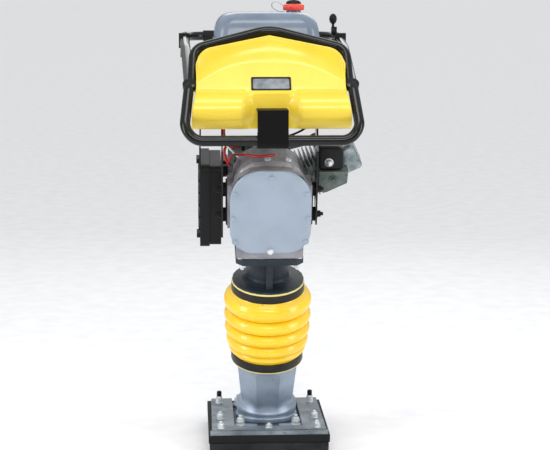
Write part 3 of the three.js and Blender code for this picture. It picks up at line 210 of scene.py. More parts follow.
# %% Metal finishes
floor_paint = finish("floor_paint", srgb(246, 246, 247), srgb(240, 240, 242), 0.7, grain=60, bump=0.02)
floor.data.materials.append(floor_paint)
cast_aluminium = finish("cast_aluminium", srgb(158, 171, 187), srgb(134, 147, 163), 0.4,
                        metal=0.6, grain=900, bump=0.3, dirt=(srgb(110, 114, 120), 0.1))
body_casting = finish("body_casting", srgb(158, 158, 164), srgb(112, 112, 118), 0.45,
                      metal=0.4, grain=800, bump=0.4, dirt=(srgb(66, 62, 60), 0.6))
cover_paint = finish("cover_paint", srgb(150, 163, 178), srgb(142, 155, 170), 0.34,
                     metal=0.15, coat=0.2, grain=420, bump=0.12)
engine_casting = finish("engine_casting", srgb(150, 158, 160), srgb(84, 92, 92), 0.36,
                        metal=0.75, grain=700, bump=0.5, patch=30, dirt=(srgb(52, 50, 46), 0.7))
slate_paint = finish("slate_paint", srgb(38, 47, 56), srgb(24, 31, 39), 0.4,
                     metal=0.1, grain=500, bump=0.3, dirt=(srgb(70, 74, 76), 0.2), shine=0.3)
powder_coat = finish("powder_coat", srgb(5, 6, 8), srgb(2, 3, 4), 0.16,
                     grain=380, bump=0.06, shine=0.34)
plate_black = finish("plate_black", srgb(8, 8, 9), srgb(4, 4, 5), 0.5,
                     grain=700, bump=0.2, shine=0.12)
tray_paint = finish("tray_paint", srgb(132, 142, 149), srgb(86, 96, 104), 0.38,
                    metal=0.35, grain=500, bump=0.3, patch=20, dirt=(srgb(46, 44, 42), 0.6))
stud_steel = finish("stud_steel", srgb(92, 102, 112), srgb(44, 52, 60), 0.4,
                    metal=0.5, grain=500, bump=0.3, patch=24, dirt=(srgb(36, 34, 32), 0.8))
sole_steel = finish("sole_steel", srgb(34, 40, 44), srgb(14, 17, 20), 0.42,
                    metal=0.3, shine=0.3, grain=420, bump=0.5, patch=22, dirt=(srgb(70, 62, 54), 0.5))
zinc = finish("zinc", srgb(214, 219, 222), srgb(176, 181, 186), 0.36,
              metal=0.7, grain=900, bump=0.1, patch=60)
olive_steel = finish("olive_steel", srgb(112, 122, 116), srgb(70, 80, 76), 0.42,
                     metal=0.5, grain=600, bump=0.4, patch=26, dirt=(srgb(48, 44, 40), 0.6))
valve_silver = finish("valve_silver", srgb(166, 178, 182), srgb(70, 82, 84), 0.22,
                      metal=0.6, grain=700, bump=0.35, patch=24, dirt=(srgb(48, 52, 50), 0.5))
print("metal finishes made")

# %% [markdown]
# The hood and bellows are both yellow, but the hood is hard and a little lemon, and the bellows is
# a warmer cast polyurethane that lets some light in. Subsurface scattering gives it that depth.

# %% Plastics and rubbers
hood_yellow = finish("hood_yellow", srgb(232, 202, 52), srgb(226, 194, 44), 0.34,
                     coat=0.35, grain=260, bump=0.05)
bellows_yellow = finish("bellows_yellow", srgb(250, 206, 34), srgb(246, 196, 20), 0.34,
                        coat=0.5, grain=300, bump=0.06, dirt=(srgb(206, 150, 30), 0.1))
bellows_yellow.node_tree.nodes["Principled BSDF"].inputs["Subsurface Weight"].default_value = 0.12
bellows_yellow.node_tree.nodes["Principled BSDF"].inputs["Subsurface Scale"].default_value = 0.01
cream_rubber = finish("cream_rubber", srgb(232, 222, 150), srgb(214, 200, 120), 0.5,
                      grain=500, bump=0.1)
tank_grey = finish("tank_grey", srgb(112, 126, 144), srgb(96, 110, 128), 0.3,
                   coat=0.25, grain=300, bump=0.12)
moulded_black = finish("moulded_black", srgb(16, 17, 19), srgb(8, 9, 10), 0.42,
                       grain=900, bump=0.35, shine=0.25)
soft_black = finish("soft_black", srgb(16, 16, 17), srgb(9, 9, 9), 0.6, grain=600, bump=0.3,
                    shine=0.25)
signal_red = finish("signal_red", srgb(226, 62, 40), srgb(206, 44, 26), 0.34,
                    coat=0.3, grain=500, bump=0.1)
lead_red = finish("lead_red", srgb(196, 40, 36), srgb(150, 28, 26), 0.42, grain=500, bump=0.1)
clear_tube = finish("clear_tube", srgb(206, 212, 208), srgb(176, 184, 180), 0.25,
                    coat=0.5, grain=300, bump=0.05)
pane_grey = finish("pane_grey", srgb(112, 122, 128), srgb(70, 78, 84), 0.12,
                   coat=0.8, grain=200, bump=0.03, patch=40)
band_black = finish("band_black", srgb(46, 44, 38), srgb(22, 22, 21), 0.4,
                    metal=0.2, grain=400, bump=0.3, shine=0.3)
print("plastic finishes made")

# %% [markdown]
# The block between tray and sole is laminated hardwood soaked in oil. Its layers are thin and level,
# so a wave along Z draws them, bent a little by noise so that no line is ruled.

# %% Laminated wood
WOOD_WAVES = 62


def laminated_wood():
    made = finish("laminated_wood", srgb(38, 33, 28), srgb(15, 14, 13), 0.6, grain=320, bump=0.6,
                  shine=0.2)
    nodes = made.node_tree.nodes
    links = made.node_tree.links
    layers = nodes.new("ShaderNodeTexWave")
    layers.bands_direction = "Z"
    layers.inputs["Scale"].default_value = WOOD_WAVES
    layers.inputs["Distortion"].default_value = 1.6
    layers.inputs["Detail Scale"].default_value = 2.5
    darker = nodes.new("ShaderNodeMix")
    darker.data_type = "RGBA"
    darker.blend_type = "MULTIPLY"
    darker.inputs["Factor"].default_value = 0.75
    shader = nodes["Principled BSDF"]
    colour = shader.inputs["Base Color"].links[0].from_socket
    place = [n for n in nodes if n.type == "TEX_COORD"][0]
    links.new(place.outputs["Object"], layers.inputs["Vector"])
    links.new(colour, darker.inputs["A"])
    links.new(layers.outputs["Color"], darker.inputs["B"])
    links.new(darker.outputs["Result"], shader.inputs["Base Color"])
    return made


oiled_wood = laminated_wood()
print("wood wave scale", WOOD_WAVES)

# %% [markdown]
# ## Dressing the engineering parts
# Many castings and plates already have the right shape, but their edges are razor sharp. Real edges
# catch light, so each carried-over part gets a small bevel as a modifier, and faces that meet at a
# gentle angle are shaded smooth. The part's own points stay where they are.

# %% Smooth shading and soft edges for a carried-over part
def smoothing_tree():
    """A small geometry group: smooth everywhere except across sharp edges."""
    tree = bpy.data.node_groups.new("smooth_by_angle", "GeometryNodeTree")
    tree.interface.new_socket("Geometry", in_out="INPUT", socket_type="NodeSocketGeometry")
    tree.interface.new_socket("Geometry", in_out="OUTPUT", socket_type="NodeSocketGeometry")
    start = tree.nodes.new("NodeGroupInput")
    end = tree.nodes.new("NodeGroupOutput")
    faces = tree.nodes.new("GeometryNodeSetShadeSmooth")
    edges = tree.nodes.new("GeometryNodeSetShadeSmooth")
    edges.domain = "EDGE"
    edges.inputs["Shade Smooth"].default_value = False
    angle = tree.nodes.new("GeometryNodeInputMeshEdgeAngle")
    sharp = tree.nodes.new("FunctionNodeCompare")
    sharp.operation = "GREATER_THAN"
    sharp.inputs["B"].default_value = math.radians(38)
    tree.links.new(start.outputs[0], faces.inputs["Geometry"])
    tree.links.new(faces.outputs[0], edges.inputs["Geometry"])
    tree.links.new(angle.outputs["Unsigned Angle"], sharp.inputs["A"])
    tree.links.new(sharp.outputs["Result"], edges.inputs["Selection"])
    tree.links.new(edges.outputs[0], end.inputs[0])
    return tree


SMOOTHING = smoothing_tree()


def soften(obj, edge_mm, segments=2):
    if edge_mm > 0:
        flatten = obj.modifiers.new("join_flat_faces", "DECIMATE")
        flatten.decimate_type = "DISSOLVE"
        flatten.angle_limit = math.radians(1.5)
        bevel = obj.modifiers.new("soft_edges", "BEVEL")
        bevel.width = edge_mm * 0.001
        bevel.segments = segments
        bevel.limit_method = "ANGLE"
        bevel.angle_limit = math.radians(38)
    shade = obj.modifiers.new("smooth_by_angle", "NODES")
    shade.node_group = SMOOTHING


def dress(finish_used, edge_mm, *names):
    for name in names:
        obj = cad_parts[name]
        obj.data.materials.clear()
        obj.data.materials.append(finish_used)
        soften(obj, edge_mm)
    print("dressed", len(names), "with", finish_used.name)


# %% Dress the carried-over parts
dress(sole_steel, 1.2, "sole_plate")
dress(oiled_wood, 1.0, "wood_block")
dress(soft_black, 1.0, "cushion_slab")
dress(tray_paint, 1.2, "shoe_tray")
dress(slate_paint, 1.2, "guide_cylinder")
dress(body_casting, 2.0, "crankcase")
dress(zinc, 0.5, "flange_studs", "spring_cylinder", "shaft_bearings", "crankshaft", "piston_rod")
dress(zinc, 0.0, "crank_gear", "pinion")
dress(sole_steel, 0.0, "lower_spring", "upper_spring", "clutch_drum")
dress(cast_aluminium, 0.5, "connecting_rod")
dress(engine_casting, 0.8, "engine_block", "flywheel")
dress(engine_casting, 0.4, "cylinder")
dress(engine_casting, 0.8, "carburettor")
dress(soft_black, 0.6, "cover_gasket", "spark_plug", "left_mounts", "right_mounts")
dress(moulded_black, 1.2, "fan_housing", "recoil_cover", "air_filter_case", "air_filter_lid")
dress(moulded_black, 0.6, "recoil_pulley", "starter_grip", "choke_lever", "oil_filler_cap")
dress(powder_coat, 0.8, "left_bracket", "right_bracket")
dress(plate_black, 1.2, "centre_plate")
dress(olive_steel, 1.6, "muffler")
dress(valve_silver, 1.2, "valve_cover")
dress(moulded_black, 0.8, "throttle_clamp", "throttle_lever", "stop_switch")
dress(signal_red, 0.5, "stop_button", "fuel_tap_lever")

# %% [markdown]
# ## Rebuilding pieces
# A rebuilt piece is a mesh made here, in millimetres, and carried into the world by one of the two
# drawing frames. It rides on the same moving body as the part it stands for, which is then hidden.

# %% Turn a mesh into a finished piece
def piece(name, mesh, frame_used, finish_used, body, stands_for=(), edge_mm=0.0):
    bmesh.ops.transform(mesh, matrix=frame_used, verts=mesh.verts)
    bmesh.ops.recalc_face_normals(mesh, faces=mesh.faces)
    data = bpy.data.meshes.new(name)
    mesh.to_mesh(data)
    mesh.free()
    obj = bpy.data.objects.new(name, data)
    bpy.context.scene.collection.objects.link(obj)
    data.materials.append(finish_used)
    for face in data.polygons:
        face.use_smooth = True
    soften(obj, edge_mm)
    if body:
        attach(obj, body)
    if stands_for:
        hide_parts(*stands_for)
    return obj


def grid_mesh(rows, closed_round=True):
    """A skin over rows of points; each row is a ring, or a strip when closed_round is False."""
    mesh = bmesh.new()
    made = [[mesh.verts.new(point) for point in row] for row in rows]
    for low, high in zip(made, made[1:]):
        count = len(low)
        for step in range(count if closed_round else count - 1):
            after = (step + 1) % count
            mesh.faces.new((low[step], low[after], high[after], high[step]))
    return mesh, made


def capped(rows):
    """A skin over rings, closed at both ends."""
    mesh, rings = grid_mesh(rows)
    mesh.faces.new(rings[0])
    mesh.faces.new(rings[-1])
    return mesh


def lathe(profile, sides=96, about=(0, 0)):
    """Turns (radius, height) points about an upright axis. The profile may close on itself."""
    rows = []
    for radius, height in profile:
        ring = []
        for step in range(sides):
            turn = 2 * math.pi * step / sides
            ring.append((about[0] + radius * math.cos(turn), about[1] + radius * math.sin(turn), height))
        rows.append(ring)
    mesh, made = grid_mesh(rows)
    for ring in (made[0], made[-1]):
        if profile[0] != profile[-1]:
            mesh.faces.new(ring)
    bmesh.ops.remove_doubles(mesh, verts=mesh.verts, dist=0.001)
    return mesh


# %% [markdown]
# ## Bellows
# The bellows is a moulded sleeve with five round lobes and narrow creases between them. It is a
# solid of revolution, so its profile is drawn once and turned. Each lobe is a raised sine, pressed
# fuller than a plain one, because air and spring-back keep the real sleeve plump.

# %% Bellows profile
CREASES = [186, 200, 230, 263, 298, 344]
LOBES = [95, 101, 105, 106.5, 107.5]


def bellows_profile():
    outside = [(85, 156.5), (86.5, 158), (86.5, 181), (89, 185)]
    for low, high, radius in zip(CREASES, CREASES[1:], LOBES):
        for step in range(1, 12):
            part = step / 12
            fullness = math.sin(math.pi * part) ** 0.62
            outside.append((91 + (radius - 91) * fullness, low + (high - low) * part))
        outside.append((90.6 if high < 344 else 89.5, high))
    outside += [(86.5, 348), (86.5, 368.5), (85, 370.5)]
    inside = [(radius - 4, height) for radius, height in reversed(outside)]
    return outside + inside + [outside[0]]


bellows = piece("bellows_sleeve", lathe(bellows_profile(), 112), LEG, bellows_yellow,
                "", ["bellows"])
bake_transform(bellows)
print("bellows points", len(bellows.data.vertices))

# %% [markdown]
# Each end of the sleeve is held by a flat steel band with a worm screw at the back. A cream rubber
# lip shows past the band, where the sleeve's own edge turns over the casting.

# %% Clamp bands and lips
def band_profile(radius, low, high):
    return [
        (radius - 1.4, low), (radius + 1.2, low), (radius + 2.0, low + 1.0),
        (radius + 2.0, high - 1.0), (radius + 1.2, high), (radius - 1.4, high), (radius - 1.4, low),
    ]


def lip_profile(radius, height, thick):
    points = []
    for step in range(13):
        turn = 2 * math.pi * step / 12
        points.append((radius + thick * math.cos(turn), height + thick * math.sin(turn)))
    return points


def bar(start, end, radius, sides=20):
    """A straight round bar between two points."""
    start, end = Vector(start), Vector(end)
    mesh = bmesh.new()
    length = (end - start).length
    turn = (end - start).to_track_quat("Z", "Y").to_matrix().to_4x4()
    bmesh.ops.create_cone(mesh, cap_ends=True, segments=sides, radius1=radius, radius2=radius,
                          depth=length, matrix=Matrix.Translation((start + end) / 2) @ turn)
    return mesh


def block(low, high):
    """A square block between two corners."""
    mesh = bmesh.new()
    size = [b - a for a, b in zip(low, high)]
    middle = [(a + b) / 2 for a, b in zip(low, high)]
    matrix = Matrix.Translation(middle) @ Matrix.Diagonal((*size, 1))
    bmesh.ops.create_cube(mesh, size=1, matrix=matrix)
    return mesh


def together(*meshes):
    whole = bmesh.new()
    for mesh in meshes:
        data = bpy.data.meshes.new("loose")
        mesh.to_mesh(data)
        mesh.free()
        whole.from_mesh(data)
        bpy.data.meshes.remove(data)
    return whole


def clamp_band(name, body, low, high, node):
    middle = (low + high) / 2
    strap = lathe(band_profile(87, low, high), 96)
    worm_box = block((-13, 87, middle - 6), (13, 99, middle + 6))
    screw = bar((-18, 95, middle), (18, 95, middle), 4.2)
    piece(name, together(strap, worm_box, screw), LEG, band_black, body,
          [node], edge_mm=0.6)


clamp_band("lower_band", "foot", 158.5, 180, "lower_clamp_band")
clamp_band("upper_band", "machine", 347, 366, "upper_clamp_band")
piece("lower_lip", lathe(lip_profile(85.6, 157.0, 2.3)), LEG, cream_rubber, "foot")
piece("upper_lip", lathe(lip_profile(86.3, 369.0, 2.4)), LEG, cream_rubber, "machine")
print("two bands and two lips")

# %% [markdown]
# ## Foot casting
# Above its round flange the foot is an eight-sided column that widens upward and ends in a round
# seat for the bellows. It is lofted: each level is a ring whose radius slides between a circle and
# an octagon. Rings close together keep the flare at the bottom smooth.

# %% Foot column by lofting
def octagon_radius(turn, flat):
    sector = (turn + math.pi / 8) % (math.pi / 4) - math.pi / 8
    return flat / math.cos(sector)


def column_ring(height, round_radius, flat, squareness, sides=128):
    ring = []
    for step in range(sides):
        turn = 2 * math.pi * step / sides
        radius = round_radius * (1 - squareness) + octagon_radius(turn, flat) * squareness
        ring.append((radius * math.cos(turn), radius * math.sin(turn), height))
    return ring


def foot_column():
    levels = [
        (8, 73, 70, 0), (12, 74.6, 70, 0), (15, 75.2, 70, 0), (29, 75.2, 70, 0), (32.5, 74.4, 70, 0),
        (34, 72.6, 68, 0), (37, 70.8, 66, 0.05), (42, 68.0, 64.6, 0.2), (48, 66.0, 64.1, 0.5),
        (55, 65.4, 64.2, 0.85), (62, 65.4, 64.8, 1), (90, 67, 67.4, 1), (120, 70, 70.4, 1),
        (140, 72, 72.4, 1), (148, 73.2, 73.2, 0.95), (153, 75, 74, 0.5), (156, 76.4, 74, 0),
        (160, 76.4, 74, 0), (184, 76.4, 74, 0), (184, 60, 60, 0), (150, 56, 56, 0), (20, 52, 52, 0),
    ]
    print("foot column rings", len(levels))
    return capped([column_ring(*level) for level in levels])


def level_base():
    """The flat part that stands on the tray, with a low ear for each stud."""
    parts = [lathe([(76, 55.6), (77, 57), (77, 66), (75, 68.4), (60, 68.6)], 96, about=(0, 2))]
    for x in (-68, 68):
        for y in (-100, 104):
            parts.append(lathe([(15, 55.6), (15.5, 56.4), (15.5, 59.5), (14.5, 60.4)], 40, about=(x, y)))
            parts.append(block((min(x, x * 0.4), y - 11, 55.6), (max(x, x * 0.4), y + 11, 60.2)))
    return together(*parts)


piece("foot_column", foot_column(), LEG, cast_aluminium, "foot",
      ["foot_casting"])
piece("foot_base", level_base(), LEVEL, cast_aluminium, "foot", edge_mm=1.0)
print("foot base has an ear for each stud")

# %% [markdown]
# ## Bolts
# Bolts are small, but they tell the eye how big the machine is. One helper makes a washer, a six-sided
# head with its top corners turned off, and the thread end, along any direction.

# %% One bolt, any direction
def bolt(at, along, across, head, washer=1.8, thread=0.0):
    at, along = Vector(at), Vector(along).normalized()
    turn = along.to_track_quat("Z", "Y").to_matrix().to_4x4()
    place = Matrix.Translation(at) @ turn
    parts = [lathe([(across * 0.66, 0), (across * 0.66, washer * 0.7), (across * 0.62, washer)], 28)]
    rows = []
    for height, size in ((washer, 1), (washer + head * 0.82, 1), (washer + head, 0.84)):
        ring = []
        for step in range(6):
            corner = 2 * math.pi * step / 6
            radius = across / 2 / math.cos(math.pi / 6) * size
            ring.append((radius * math.cos(corner), radius * math.sin(corner), height))
        rows.append(ring)
    hexagon, rings = grid_mesh(rows)
    hexagon.faces.new(rings[-1])
    parts.append(hexagon)
    if thread:
        top = washer + head
        core = across * 0.3
        end = [(core, top - 1), (core, top + thread - 1), (core * 0.75, top + thread), (0.4, top + thread)]
        parts.append(lathe(end, 20))
    whole = together(*parts)
    bmesh.ops.transform(whole, matrix=place, verts=whole.verts)
    return whole


# %% [markdown]
# The tray is bolted through the rubber slab and the wood into the sole. The two rear bolts stand
# taller, with a dark thread end. A dark plate let into the slab carries four studs, which hold the
# foot casting down with double nuts.

# %% Shoe bolts and studs
TRAY_TOP = 65
STUD_FOOT = 60.4
shoe_bolts = []
for x in (-117, 117):
    for y, tall in ((-146, 10), (-60, 12), (98, 15)):
        shoe_bolts.append(bolt((x, y, TRAY_TOP), (0, 0, 1), 15, tall, washer=3, thread=5))
shoe_bolts.append(bolt((0, -145, TRAY_TOP), (0, 0, 1), 14, 7, washer=2.5, thread=3))
piece("tray_bolts", together(*shoe_bolts), LEVEL, zinc, "foot",
      ["shoe_bolts"], edge_mm=0.5)

stud_nuts = []
for x in (-68, 68):
    for y in (-100, 104):
        stud_nuts.append(bolt((x, y, STUD_FOOT), (0, 0, 1), 18, 8, washer=3))
        stud_nuts.append(bolt((x, y, 71), (0, 0, 1), 16, 7, washer=0.8, thread=7))
deck = block((-81.6, -127, 46.4), (81.6, 129, 55))
piece("stud_deck", deck, LEVEL, stud_steel, "foot", ["stud_plate"], edge_mm=0.8)
piece("stud_nuts", together(*stud_nuts), LEVEL, zinc, "foot", edge_mm=0.5)

tips = [lathe([(6.2, 84), (6.2, 95), (4.5, 97), (0.5, 97)], 24, about=(x, 98)) for x in (-117, 117)]
piece("rear_bolt_caps", together(*tips), LEVEL, moulded_black, "foot")
print("shoe fasteners", len(shoe_bolts) + len(stud_nuts))

# %% [markdown]
# ## Crankcase cover
# The cover is a flat pressed plate with a rounded-square outline, wide corners above and tighter
# ones below. Its face is slightly domed towards the rim, and each bolt sits in a small pad. The
# outline is built from arcs, then copied inward to make the rolled edge.

# %% Cover plate
def round_square(left, right, low, high, low_corner, high_corner, steps=14):
    corners = [
        (right - low_corner, low + low_corner, low_corner, -90),
        (right - high_corner, high - high_corner, high_corner, 0),
        (left + high_corner, high - high_corner, high_corner, 90),
        (left + low_corner, low + low_corner, low_corner, 180),
    ]
    points = []
    for x, z, radius, first in corners:
        for step in range(steps + 1):
            turn = math.radians(first + 90 * step / steps)
            points.append((x + radius * math.cos(turn), z + radius * math.sin(turn)))
    return points


def cover_plate():
    rows = []
    for inset, depth in ((0.4, -81.4), (0, -82.4), (0, -88), (0.8, -90.2), (2.6, -91.4), (5, -91.8)):
        outline = round_square(-95 + inset, 95 - inset, 482 + inset, 692 - inset,
                               58 - inset, 74 - inset)
        rows.append([(x, depth, z) for x, z in outline])
    return capped(rows)


COVER_FACE = -92.4
COVER_BOLTS = [(0, 677), (-84, 636), (84, 636), (-88, 574), (88, 574), (-83, 514), (83, 514), (0, 489)]
pads = [bar((x, -86, z), (x, COVER_FACE, z), 7.6, 32) for x, z in COVER_BOLTS]
piece("cover_plate", together(cover_plate(), *pads), LEG, cover_paint, "machine",
      ["crankcase_cover"], edge_mm=0.4)
heads = [bolt((x, COVER_FACE, z), (0, -1, 0), 8.5, 3.6, washer=0.9) for x, z in COVER_BOLTS[:-1]]
piece("cover_bolts", together(*heads), LEG, cover_paint, "machine", edge_mm=0.3)
drain = bolt((0, COVER_FACE, 489), (0, -1, 0), 12, 5, washer=1.6)
piece("drain_plug", drain, LEG, zinc, "machine", edge_mm=0.4)
print("cover bolts", len(COVER_BOLTS))

# %% [markdown]
# ## Hood
# The yellow hood is one rotational moulding. A long slope ends in an arched crease with a shallow
# hollow above it. Two fat rolls run along the bottom, and between them the wall steps back for the
# black plate. It is drawn as a
# grid of upright profiles: every profile has the same number of points, so neighbours join cleanly,
# and the roll fades into the recess across a chamfer. Solidify gives the skin its thickness.

# %% Hood profiles
SLOPE_LOW = Vector((-273, 886))
SLOPE_HIGH = Vector((-199.5, 975))


def half_width(z):
    table = [(800, 183.5), (846, 181.5), (884, 174), (900, 172), (945, 171), (1015, 168)]
    for (z0, w0), (z1, w1) in zip(table, table[1:]):
        if z <= z1:
            part = max((z - z0) / (z1 - z0), 0)
            return w0 + (w1 - w0) * part
    return table[-1][1]


def crease_height(x):
    return 959 - 52 * (abs(x) / 165) ** 2.4


def crown_height(x):
    """Top edge of the hood: two straight roof lines with rounded shoulders."""
    away = abs(x)
    roof = 1016 - 0.2 * away
    if away < 134:
        return roof
    part = min((away - 134) / 31, 1)
    return roof - 30 * (1 - math.sqrt(1 - 0.98 * part * part))


def slope_point(z):
    part = (z - SLOPE_LOW.y) / (SLOPE_HIGH.y - SLOPE_LOW.y)
    return SLOPE_LOW.x + (SLOPE_HIGH.x - SLOPE_LOW.x) * part


def hood_column(side):
    """side runs from -1 to 1 across the hood; returns the profile as (x, y, z) from lip to back."""
    across = abs(side) * 165
    recess = min(max((60 - across) / 22, 0), 1)
    profile = []
    for step in range(25):
        turn = math.radians(270 - 172 * step / 24)
        roll = Vector((-262 + 42 * math.cos(turn), 846 + 42 * math.sin(turn)))
        flat = Vector((-276, 806 + 80 * step / 24))
        profile.append(roll.lerp(flat, recess))
    join = profile[-1]
    crease = Vector((slope_point(crease_height(across)), crease_height(across)))
    start = Vector((slope_point(896), 896))
    for step in range(1, 5):
        profile.append(join.lerp(start, step / 4))
    for step in range(1, 15):
        profile.append(start.lerp(crease, step / 14))
    top = crown_height(across)
    brow = Vector((crease.x + (top - 5 - crease.y) * 0.22, top - 5))
    for step in range(1, 7):
        dip = 3.5 * math.sin(math.pi * step / 6)
        profile.append(crease.lerp(brow, step / 6) + Vector((dip, 0)))
    for step in range(1, 5):
        turn = math.radians(22.5 * step)
        profile.append(Vector((brow.x + 14 * math.sin(turn), brow.y + 5 * (1 - math.cos(turn)))))
    profile += [Vector((-150, top)), Vector((-122, top))]
    return [(side * half_width(p.y), p.x, p.y) for p in profile]


def hood_skin():
    sides = [-1 + 2 * step / 96 for step in range(97)]
    rows = [hood_column(side) for side in sides]
    mesh, strips = grid_mesh(rows, closed_round=False)
    for strip in (strips[0], strips[-1]):
        back = []
        for vert in strip:
            x, y, z = vert.co
            wall_end = -150 if z < 930 else -122
            back.append(mesh.verts.new((x, max(wall_end, y), z)))
        for step in range(len(strip) - 1):
            mesh.faces.new((strip[step], strip[step + 1], back[step + 1], back[step]))
    bmesh.ops.remove_doubles(mesh, verts=mesh.verts, dist=0.01)
    return mesh


hood = piece("hood_shell", hood_skin(), LEVEL, hood_yellow, "handle", ["hood"])
hood.modifiers.remove(hood.modifiers["smooth_by_angle"])
rounding = hood.modifiers.new("rounded_edges", "BEVEL")
rounding.width = 0.007
rounding.segments = 4
rounding.limit_method = "ANGLE"
rounding.angle_limit = math.radians(50)
wall = hood.modifiers.new("wall", "SOLIDIFY")
wall.thickness = 0.0035
wall.offset = -1
hood.modifiers.new("smooth_by_angle", "NODES").node_group = SMOOTHING
print("hood grid", len(hood.data.vertices))

# %% [markdown]
# ## Window in the hood
# A small see-through panel sits in a black frame on the slope. The frame is a rounded ring with a
# raised lip, and the pane lies a little deeper. Both are drawn flat and then leaned onto the slope.

# %% Window frame and pane
SLOPE_LEAN = math.atan2(SLOPE_HIGH.y - SLOPE_LOW.y, SLOPE_HIGH.x - SLOPE_LOW.x)
WINDOW_Z = 907
WINDOW = (LEVEL @ Matrix.Translation((0, slope_point(WINDOW_Z), WINDOW_Z))
          @ Matrix.Rotation(SLOPE_LEAN, 4, "X"))


def framed_panel(half_width_mm, half_height_mm, rim, height):
    rows = []
    for inset, lift in ((0, -3), (0, height - 0.8), (0.8, height), (rim - 0.8, height), (rim, 0)):
        outline = round_square(-half_width_mm + inset, half_width_mm - inset,
                               -half_height_mm + inset, half_height_mm - inset, 4, 4, 4)
        rows.append([(x, y, lift) for x, y in outline])
    mesh, rings = grid_mesh(rows)
    mesh.faces.new(rings[0])
    return mesh


piece("window_frame", framed_panel(46, 19, 4.5, 2.2), WINDOW, moulded_black, "handle",
      ["hood_window"])
pane = bmesh.new()
glass_outline = round_square(-42, 42, -15, 15, 3, 3, 4)
pane.faces.new([pane.verts.new((x, y, 0.6)) for x, y in glass_outline])
piece("window_pane", pane, WINDOW, pane_grey, "handle")
print("window leans", round(math.degrees(SLOPE_LEAN), 1), "degrees")

# %% [markdown]
# ## Handle tubes
# The front bar and the operator's loop are one 24 mm steel tube bent round the machine, with a
# second bar arched over the hood. A tube is a circle swept along a path, and the path is straight
# runs joined by arcs, which is exactly what a tube bender leaves.

# %% Paths and sweeps
def bent(points, radius, close_to=2.5):
    """Corner points to a smooth path. radius is one bend radius, or one for each inner corner."""
    points = [Vector(p) for p in points]
    count = len(points) - 2
    radii = radius if isinstance(radius, list) else [radius] * count
    path = [points[0]]
    for before, corner, after, bend in zip(points, points[1:], points[2:], radii):
        back, ahead = (before - corner).normalized(), (after - corner).normalized()
        half = back.angle(ahead) / 2
        centre = corner + (back + ahead).normalized() * bend / math.sin(half)
        start = corner + back * bend / math.tan(half) - centre
        end = corner + ahead * bend / math.tan(half) - centre
        sweep_angle = start.angle(end)
        axis = start.cross(end).normalized()
        steps = max(4, int(sweep_angle * bend / close_to))
        for step in range(steps + 1):
            turn = Matrix.Rotation(sweep_angle * step / steps, 3, axis)
            path.append(centre + turn @ start)
    path.append(points[-1])
    return path


def slack(points, steps=10):
    """A soft curve through every point, for a hose or cable."""
    points = [Vector(p) for p in points]
    ends = [2 * points[0] - points[1]] + points + [2 * points[-1] - points[-2]]
    path = []
    for a, b, c, d in zip(ends, ends[1:], ends[2:], ends[3:]):
        for step in range(steps):
            t = step / steps
            path.append(0.5 * (2 * b + (c - a) * t + (2 * a - 5 * b + 4 * c - d) * t * t
                               + (3 * b - a - 3 * c + d) * t ** 3))
    path.append(points[-1])
    return path


def swept(path, radius, sides=24):
    """A round skin along a path, carried from point to point without twisting."""
    tangents = []
    for step in range(len(path)):
        before, after = path[max(step - 1, 0)], path[min(step + 1, len(path) - 1)]
        tangents.append((after - before).normalized())
    across = tangents[0].orthogonal().normalized()
    rows = []
    for point, along in zip(path, tangents):
        across = (across - along * across.dot(along)).normalized()
        other = along.cross(across)
        ring = []
        for step in range(sides):
            turn = 2 * math.pi * step / sides
            ring.append(point + radius * (math.cos(turn) * across + math.sin(turn) * other))
        rows.append(ring)
    return capped(rows)


def both_sides(right, middle):
    return right + middle + [(-x, y, z) for x, y, z in reversed(right)]


# %% Handle tubes
TUBE_RADIUS = 12
front_half = [(0, -330, 783), (176, -330, 783), (199, -320, 812), (188, -252, 903),
              (196, 40, 978), (200, 250, 1000), (200, 410, 1000)]
front_bends = [38, 38, 50, 300, 300, 70]
loop = bent(both_sides(front_half, []), front_bends + front_bends[::-1])
piece("handle_tube", swept(loop, TUBE_RADIUS), LEVEL, powder_coat, "handle",
      ["front_bar", "operator_loop"])
peak_half = [(181, -246, 898), (176, -196, 985)]
peak = bent(both_sides(peak_half, [(0, -158, 1029)]), [34, 90, 34])
piece("hood_bar", swept(peak, 11.5), LEVEL, powder_coat, "handle", ["peak_bar"])
grip = bent([(-150, 410, 1000), (0, 410, 1000.1), (150, 410, 1000)], 500)
piece("rear_grip", swept(grip, 14.5), LEVEL, soft_black, "handle", edge_mm=0.8)
print("tube path points", len(loop) + len(peak))

# %% [markdown]
# ## Fuel tank
# The tank is blow-moulded: soft corners everywhere, a slightly dished top and sides that lean in.
# Rings with rounded corners are stacked from bottom to top, and the top rings shrink quickly, which
# rolls the shoulder over. A raised seam runs round it where the two halves of the mould met.

# %% Tank rings
CAP = (70, 40)
TAP = (-100, 20)


def tank_ring(height, half, front, back, corner):
    outline = round_square(-half, half, front, back, corner, corner, 8)
    return [(x, y, height) for x, y in outline]


def tank_mesh():
    levels = [
        (936.5, 100, -78, 146, 24), (937, 112, -90, 158, 26), (940, 120, -97, 165, 28),
        (946, 125, -102, 170, 30), (956, 127, -104, 172, 30), (998, 126.5, -103.5, 171.5, 30),
        (999.5, 128.2, -105, 173, 31), (1002.5, 128.2, -105, 173, 31), (1004, 126, -103, 171, 30),
        (1028, 123.5, -101, 169, 32), (1042, 119.5, -97, 165, 34), (1052, 113.5, -91, 159, 36),
        (1060, 105, -83, 151, 36), (1065.5, 93, -72, 140, 34), (1067.5, 80, -60, 128, 30),
        (1066.5, 60, -40, 108, 24), (1064, 30, -10, 78, 14),
    ]
    return capped([tank_ring(*level) for level in levels])


